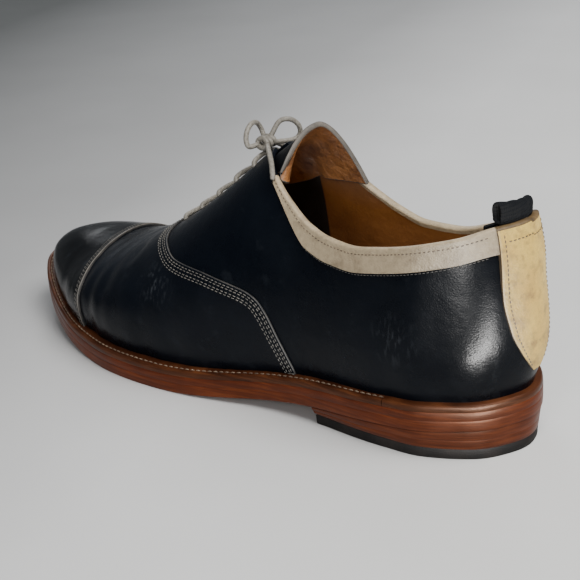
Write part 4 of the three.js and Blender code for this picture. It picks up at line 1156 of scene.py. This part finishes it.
# share of the length, rise, then half width, drop and stand-off of the outer and of the inner edge
TONGUE_LINE = np.array([
    (0.358, 1.1400, 0.1606, 0.1691, 0.0721, 0.1596, 0.2682, 0.1394),
    (0.368, 1.1164, 0.1606, 0.1655, 0.0404, 0.1577, 0.2455, 0.0721),
    (0.380, 1.0873, 0.1538, 0.1564, 0, 0.1577, 0.2227, 0),
    (0.400, 1.0455, 0.1500, 0.1327, 0, 0.1635, 0.1773, 0),
    (0.420, 1.0055, 0.1462, 0.1073, 0, 0.1596, 0.1618, 0),
    (0.450, 0.9436, 0.1442, 0.0727, 0, 0.1538, 0.1255, 0),
    (0.480, 0.8764, 0.1394, 0.0509, 0, 0.1490, 0.0800, 0),
    (0.520, 0.7891, 0.1346, 0.0355, 0, 0.1442, 0.0491, 0),
    (0.560, 0.7082, 0.1250, 0.0218, 0, 0.1346, 0.0264, 0),
    (0.600, 0.6355, 0.1154, 0.0155, 0, 0.1250, 0.0155, 0),
    (0.655, 0.5418, 0.1058, 0.0118, 0, 0.1154, 0.0109, 0),
])
(tongue_rise, tongue_outer, tongue_outer_drop, tongue_ahead, tongue_inner, tongue_inner_drop,
 tongue_back) = [smooth_line(TONGUE_LINE[:, 0], TONGUE_LINE[:, k]) for k in range(1, 8)]


def tongue_top(at, across):
    outer = across > 0
    half = np.where(outer, tongue_outer(at), tongue_inner(at)) * BALL_WIDTH
    drop = np.where(outer, tongue_outer_drop(at), tongue_inner_drop(at))
    stand = np.where(outer, tongue_ahead(at), -tongue_back(at)) * BALL_WIDTH
    x = along_sole(at) + stand * across * across
    z = (tongue_rise(at) - drop * np.abs(across) ** TONGUE_ARCH) * INSTEP_HEIGHT
    return np.stack(np.broadcast_arrays(x, half * across, z), -1)


def tongue_skin(at, across, depth):
    along = tongue_top(at + 0.004, across) - tongue_top(at - 0.004, across)
    over = tongue_top(at, np.minimum(across + 0.04, 1)) - tongue_top(at, np.maximum(across - 0.04, -1))
    normal = np.cross(along, over)
    normal /= np.linalg.norm(normal, axis=-1, keepdims=True)
    return tongue_top(at, across) - normal * np.asarray(depth)[..., None]


tongue_lining, tree, shader = material("tongue lining", roughness=0.55)
where = add(tree, "TexCoord").outputs["Object"]
worn = use(tree, patches, {"Place": where, "Scale": 60.0, "Low": 0.36, "High": 0.70})
spots = use(tree, patches, {"Place": where, "Scale": 170.0, "Low": 0.55, "High": 0.75})
tone = ramp(tree, worn["Mask"], [(0, (0.20, 0.070, 0.016)), (1, (0.44, 0.175, 0.040))])
tree.links.new(blend(tree, spots["Mask"], tone, (0.07, 0.026, 0.010, 1)), shader.inputs["Base Color"])
stretched = add(tree, "Mapping", {"Vector": where, "Scale": (1, 0.35, 1)})
ruck = add(tree, "TexNoise", {"Vector": stretched.outputs[0], "Scale": 190, "Detail": 3, "Roughness": 0.5})
first = bumped(tree, shader, ruck.outputs["Fac"], 0.0016)
fibre = add(tree, "TexNoise", {"Vector": where, "Scale": 900, "Detail": 4})
bumped(tree, shader, fibre.outputs["Fac"], 0.00012, before=first)
tongue_calf = black_calf(
    "black calf tongue", 0.42, 0.10, (0, 0, 1), (0.0030, 0.0036, 0.0050), (0.0060, 0.0070, 0.0090), 0.00012)
tongue_at = np.linspace(TONGUE_LINE[0, 0], TONGUE_LINE[-1, 0], 120)
tongue_w = np.sin(np.linspace(-1, 1, 61) * math.pi / 2)


def tongue_grid(depth):
    return tongue_skin(tongue_at[:, None], tongue_w[None], np.full((len(tongue_at), len(tongue_w)), depth))


def tongue_rim(at, across, out):
    turn = np.linspace(0, math.pi, 9)
    depth = TONGUE / 2 * (1 - np.cos(turn))
    rim = tongue_skin(at[:, None], across[:, None], np.broadcast_to(depth, (len(at), 9)))
    return rim + out[:, None] * (0.75 * np.sin(turn))[None, :, None]


top_out = tongue_top(tongue_at[:1] - 0.004, tongue_w) - tongue_top(tongue_at[:1], tongue_w)
top_out /= np.linalg.norm(top_out, axis=-1, keepdims=True)
parts = [(*sheet(tongue_grid(0)), tongue_calf), (*sheet(tongue_grid(TONGUE)), tongue_lining)]
parts.append((*sheet(tongue_rim(np.full_like(tongue_w, tongue_at[0]), tongue_w, top_out)), pale_edge_and_highlight))
for across in (-1.0, 1.0):
    edge_w = np.full_like(tongue_at, across)
    out = tongue_top(tongue_at, edge_w) - tongue_top(tongue_at, edge_w * 0.98)
    out /= np.linalg.norm(out, axis=-1, keepdims=True)
    parts.append((*sheet(tongue_rim(tongue_at, edge_w, out)), pale_edge_and_highlight))
piece("tongue_leather", parts, stands_for=["tongue"], sharp=70)
across = np.concatenate([np.full(30, -0.88), np.linspace(-0.88, 0.88, 60), np.full(30, 0.88)])
at = np.concatenate([np.linspace(0.43, 0.3645, 30), np.full(60, 0.3645), np.linspace(0.3645, 0.43, 30)])
line = tongue_skin(at, across, np.full_like(at, -0.03))
normal = tongue_skin(at, across, np.full_like(at, -1.03)) - line
row = stitch_row(line, normal, length=1.3, step=1.9, radius=0.17)
piece("tongue_stitches", [(*row, brown_thread)], weld=0)

# Pull loop
# A black woven tape, folded over and caught in the top of the back strip, with two tails sewn down
# inside the collar.
LOOP_WIDTH = 23
LOOP_TAPE = 1.2
LOOP_HEIGHT = 7.4
RIM_BOW = 0.69
LOOP_TILT = 0.2
BACK_RIM = np.array([-0.832 * HEEL_CENTRE, 0, 0.905 * INSTEP_HEIGHT])
# ahead to the toe and up from the rim, as shares of the loop's height, running round
LOOP_LINE = np.array([
    (0.000, 0.189), (0.014, 0.446), (0.095, 0.743), (0.243, 0.959), (0.432, 1.000), (0.568, 0.878),
    (0.541, 0.649), (0.459, 0.419), (0.378, 0.257),
])
loop_tape, tree, shader, where = mottled(
    "black woven tape", (0.005, 0.006, 0.008), (0.014, 0.015, 0.018), 260.0, 0.55, 0.85, 0.9,
    Specular_IOR_Level=0.15)
ribs = add(tree, "TexWave", {"Vector": where, "Scale": 330, "Distortion": 0.6, "Detail": 1},
           bands_direction="Y")
cross = add(tree, "TexWave", {"Vector": where, "Scale": 210, "Distortion": 0.8, "Detail": 1},
            bands_direction="Z")
weave = add(tree, "Math", {0: ribs.outputs["Fac"], 1: cross.outputs["Fac"]}, operation="ADD")
bumped(tree, shader, weave.outputs[0], 0.00025)


def catmull(points, count, closed=False):
    points = np.asarray(points, float)
    if closed:
        knots = np.concatenate([points[-1:], points, points[:2]])
    else:
        knots = np.concatenate([[2 * points[0] - points[1]], points, [2 * points[-1] - points[-2]]])
    spans = len(knots) - 3
    place = np.linspace(0, spans, count, endpoint=not closed)
    i = np.minimum(np.floor(place).astype(int), spans - 1)
    f = (place - i)[:, None]
    a, b, c, d = knots[i], knots[i + 1], knots[i + 2], knots[i + 3]
    return 0.5 * (2 * b + (c - a) * f + (2 * a - 5 * b + 4 * c - d) * f**2 + (3 * b - a - 3 * c + d) * f**3)


loop_line = catmull(LOOP_LINE, 72, closed=True)
loop_run = np.roll(loop_line, -1, 0) - np.roll(loop_line, 1, 0)
loop_run /= np.linalg.norm(loop_run, axis=1, keepdims=True)
loop_y = LOOP_WIDTH * np.linspace(-0.5, 0.5, 33)


def tape_side(face, line=loop_line, run=loop_run):
    height = line[:, 1:2]
    bow = RIM_BOW * loop_y**2 / LOOP_WIDTH * (1 - height / 2)
    tilt = LOOP_TILT * loop_y * np.where(loop_y < 0, 0.4 + 0.6 * height, height)
    pucker = 0.12 * np.sin(loop_y * 0.9 + height * 5)
    x = BACK_RIM[0] + line[:, :1] * LOOP_HEIGHT + bow - run[:, 1:2] * (face + pucker)
    z = BACK_RIM[2] + line[:, 1:2] * LOOP_HEIGHT + tilt + run[:, :1] * (face + pucker)
    return np.stack(np.broadcast_arrays(x, loop_y, z), -1)


out_face, in_face = tape_side(-LOOP_TAPE / 2), tape_side(LOOP_TAPE / 2)
selvedges = []
for k, bulge in ((0, -0.35), (-1, 0.35)):
    middle = (out_face[:, k] + in_face[:, k]) / 2 + (0, bulge, 0)
    selvedges.append(np.stack([out_face[:, k], middle, in_face[:, k]], 1))
parts = [(*sheet(part, closed_round=True), loop_tape) for part in (out_face, in_face, *selvedges)]
tail_u = np.linspace(-1.62, 1.62, 33)
tail_side = np.where(tail_u < 0, -1, 1)
tail_top = np.where(tail_side > 0, top_edge(tail_u, 1), top_edge(tail_u, -1))
tail_v = tail_side * (tail_top + np.linspace(0.0, 0.14, 12)[:, None])
outer_tail = over_last(tail_u[None], tail_v, -WALL - 0.5)
inner_tail = over_last(tail_u[None], tail_v, -WALL - 1.5)
bridge = np.stack([outer_tail[0] + (0, 0, 2.0), inner_tail[0] + (0, 0, 2.6)])
parts += [(*sheet(inner_tail), loop_tape), (*sheet(np.stack([outer_tail[-1], inner_tail[-1]])), loop_tape)]
parts += [(*sheet(np.stack([outer_tail[:, k], inner_tail[:, k]])), loop_tape) for k in (0, -1)]
parts.append((*sheet(np.concatenate([bridge, inner_tail[:1]])), loop_tape))
piece("pull_loop_tape", parts, stands_for=["pull_loop"], sharp=60)

# Laces
# One round waxed cotton lace, grey beige, straight across five pairs of punched holes, tied in a
# small bow on the top pair. Its ends are bare and stiffened.
LACE = 2.3
LACE_PAIRS = 5
FIRST_HOLE = 0.615
LAST_HOLE = 0.455
lace_cotton, tree, shader = material(
    "waxed lace cotton", roughness=0.6, Coat_Weight=0.15, Coat_Roughness=0.35)
braid_place = add(tree, "UVMap", uv_map="lace").outputs["UV"]
where = add(tree, "TexCoord").outputs["Object"]
one_way = add(tree, "TexWave", {"Vector": braid_place, "Scale": 1.0, "Detail": 0}, bands_direction="DIAGONAL")
turned = add(tree, "Mapping", {"Vector": braid_place, "Scale": (-1, 1, 1)})
other_way = add(tree, "TexWave", {"Vector": turned.outputs[0], "Scale": 1.0, "Detail": 0},
                bands_direction="DIAGONAL")
braid = add(tree, "Math", {0: one_way.outputs["Fac"], 1: other_way.outputs["Fac"]}, operation="MAXIMUM")
soiled = use(tree, patches, {"Place": where, "Scale": 210.0, "Low": 0.30, "High": 0.72})
tone = ramp(tree, soiled["Mask"], [(0, (0.135, 0.122, 0.100)), (1, (0.275, 0.252, 0.212))])
shade = ramp(tree, braid.outputs[0], [(0.2, (0.84, 0.83, 0.82)), (0.8, (1.04, 1.04, 1.04))])
tree.links.new(blend(tree, 1.0, tone, shade, "MULTIPLY"), shader.inputs["Base Color"])
bumped(tree, shader, braid.outputs[0], 0.00012)


def lace_tube(line, thick=LACE, sides=16):
    """A round lace along a line, with its ends rounded over."""
    run = np.gradient(line, axis=0)
    run /= np.linalg.norm(run, axis=1, keepdims=True)
    reach = np.concatenate([[0], np.cumsum(np.linalg.norm(np.diff(line, axis=0), axis=1))])
    across = np.zeros_like(run)
    guide = np.cross(run[0], (0.3, 0.5, 0.8))
    for i, along in enumerate(run):
        guide = guide - along * (guide @ along)
        guide = guide / np.linalg.norm(guide)
        across[i] = guide
    other = np.cross(run, across)
    end = len(line) - 1
    rings = [(0, 0.02, -0.34), (0, 0.62, -0.24), (0, 0.90, -0.08)]
    rings += [(i, 1.0, 0.0) for i in range(1, end)]
    rings += [(end, 0.90, 0.08), (end, 0.62, 0.24), (end, 0.02, 0.34)]
    places = []
    points = []
    for i, width, push in rings:
        turns = 2 * math.pi * np.arange(sides) / sides
        circle = across[i] * np.cos(turns)[:, None] + other[i] * np.sin(turns)[:, None]
        points.append(line[i] + run[i] * push * thick + circle * thick / 2 * width)
        places.append(reach[i] + push * thick)
    points = np.stack(points)
    faces = []
    uv = []
    for i in range(len(points) - 1):
        for k in range(sides):
            after = (k + 1) % sides
            faces.append((i * sides + k, i * sides + after, (i + 1) * sides + after, (i + 1) * sides + k))
            low, high = places[i] / thick * 0.55, places[i + 1] / thick * 0.55
            uv.append(((k / sides, low), ((k + 1) / sides, low), ((k + 1) / sides, high), (k / sides, high)))
    return points.reshape(-1, 3), faces, uv


def lace_piece(name, lines, stands_for, thick=LACE):
    points = []
    faces = []
    uvs = []
    count = 0
    for line in lines:
        tube, tube_faces, tube_uv = lace_tube(np.asarray(line, float), thick)
        points.append(tube)
        faces += [tuple(i + count for i in face) for face in tube_faces]
        uvs += tube_uv
        count += len(tube)
    made = piece(name, [(np.concatenate(points), faces, lace_cotton)],
                 stands_for=stands_for, weld=0)
    layer = made.data.uv_layers.new(name="lace")
    layer.data.foreach_set("uv", np.array(uvs, float).reshape(-1))
    return made


def over_facing(u, y, offset):
    u = np.full(np.shape(y), u)
    side = np.where(np.asarray(y) < 0, -1.0, 1.0)
    none, whole = np.zeros(np.shape(y)), np.ones(np.shape(y))
    v = solved(lambda v: np.abs(last_point(u, side * v)[..., 1]) >= np.abs(y), none, whole)
    return over_last(u, side * v, offset)


punched, tree, shader = material("punched hole edge", roughness=0.7)
where = add(tree, "TexCoord").outputs["Object"]
frayed = add(tree, "TexNoise", {"Vector": where, "Scale": 1500, "Detail": 2})
tone = ramp(tree, frayed.outputs["Fac"], [(0.3, (0.006, 0.006, 0.007)), (0.8, (0.035, 0.03, 0.027))])
tree.links.new(tone, shader.inputs["Base Color"])
holes = []
for i in range(LACE_PAIRS):
    u = row_at(FIRST_HOLE + (LAST_HOLE - FIRST_HOLE) * i / (LACE_PAIRS - 1))
    lift = LACE / 2 + GAP
    y = np.array([-9.0, -8.9, -8.4, -7.4, -6, -4, -2, 0, 2, 4, 6, 7.4, 8.4, 8.9, 9.0])
    diving = [-2.2, -0.9, 0.6, lift - 0.2]
    offset = np.array([*diving, *[lift] * 7, *reversed(diving)])
    bar = over_facing(u, y, offset)
    lace_piece(f"lace_bar_cotton_{i + 1}", [catmull(bar, 70)], [f"lace_bar_{i + 1}"])
    for y_hole in (-8.7, 8.7):
        centre = over_facing(u, np.array([y_hole]), 0.0)[0]
        normal = over_facing(u, np.array([y_hole]), 1.0)[0] - centre
        across = np.cross(normal, (0, 1, 0))
        across /= np.linalg.norm(across)
        other = np.cross(normal, across)
        turns = np.linspace(0, 2 * math.pi, 24, endpoint=False)
        rings = [(1.15, -0.6), (1.35, 0.02), (1.55, 0.16), (1.85, 0.10), (2.05, -0.05)]
        around = across * np.cos(turns)[:, None] + other * np.sin(turns)[:, None]
        ring = [centre + normal * up + around * radius for radius, up in rings]
        holes.append((*sheet(np.stack(ring, 1), closed_round=True), punched))
piece("lace_holes", holes, weld=0)

KNOT = np.array([102.4, 0, 112.6])
KNOT_SIZE = np.array([9, 8.4, 7])
LOOP_OUTER = [
    (2.2, 3.6, -0.6), (106.4, 7.2, 111.8), (107.6, 7.6, 114.6), (108.4, 5.6, 118.2), (109.0, 1.6, 120.6),
    (109.8, -2.6, 119.8), (110.2, -5.4, 116.8), (109.0, -5.6, 113.6), (3.4, -2.8, 0.2),
]
LOOP_INNER = [
    (-1.4, -2.8, 3.2), (99.6, -6.6, 120.6), (96.6, -10.4, 121.0), (94.6, -13.4, 118.0), (94.4, -14.2, 113.8),
    (96.2, -11.4, 111.4), (-3.2, -3.6, -0.6),
]
END_OUTER = [
    (-3.4, 3.4, -0.2), (94.4, 8.2, 113.3), (89.4, 13.0, 112.2), (84.6, 17.6, 109.8), (80.6, 22.0, 105.8),
]
END_INNER = [
    (0.6, -3.8, -1.8), (102.8, -8.8, 109.2), (101.8, -14.4, 104.6), (100.6, -19.4, 98.2), (99.8, -22.6, 90.5),
]


def at_knot(direction, sink=0.0):
    """Where a cord leaves the knot, in this direction out of its middle."""
    direction = np.asarray(direction, float)
    on_surface = 0.5 / np.linalg.norm(direction / KNOT_SIZE)
    return KNOT + direction * (on_surface + (GAP - sink) / np.linalg.norm(direction))


wraps = []
for share, spin, tilt in ((-0.30, 0.1, 0.22), (0.02, -0.1, 0.05), (0.32, 0.12, -0.2)):
    turns = np.linspace(0, 2 * math.pi, 41)
    ring = np.column_stack([
        KNOT[0] + 0.60 * (KNOT_SIZE[0] / 2) * np.cos(turns),
        KNOT[1] + share * KNOT_SIZE[1] + tilt * 3.2 * np.sin(turns),
        KNOT[2] + 0.58 * (KNOT_SIZE[2] / 2) * np.sin(turns) + spin,
    ])
    wraps.append(ring)
lace_piece("lace_knot_cotton", wraps, ["lace_knot"], thick=2.5)


for name, route in (("loop_outer", LOOP_OUTER), ("loop_inner", LOOP_INNER)):
    line = catmull([at_knot(route[0], 0.5), *route[1:-1], at_knot(route[-1], 0.5)], 120)
    made = lace_piece(f"lace_{name}_cotton", [line], [f"lace_{name}"])
for name, route in (("end_outer", END_OUTER), ("end_inner", END_INNER)):
    line = catmull([KNOT + (at_knot(route[0]) - KNOT) * 0.25, at_knot(route[0]), *route[1:]], 110)
    made = lace_piece(f"lace_{name}_cotton", [line], [f"lace_{name}"])
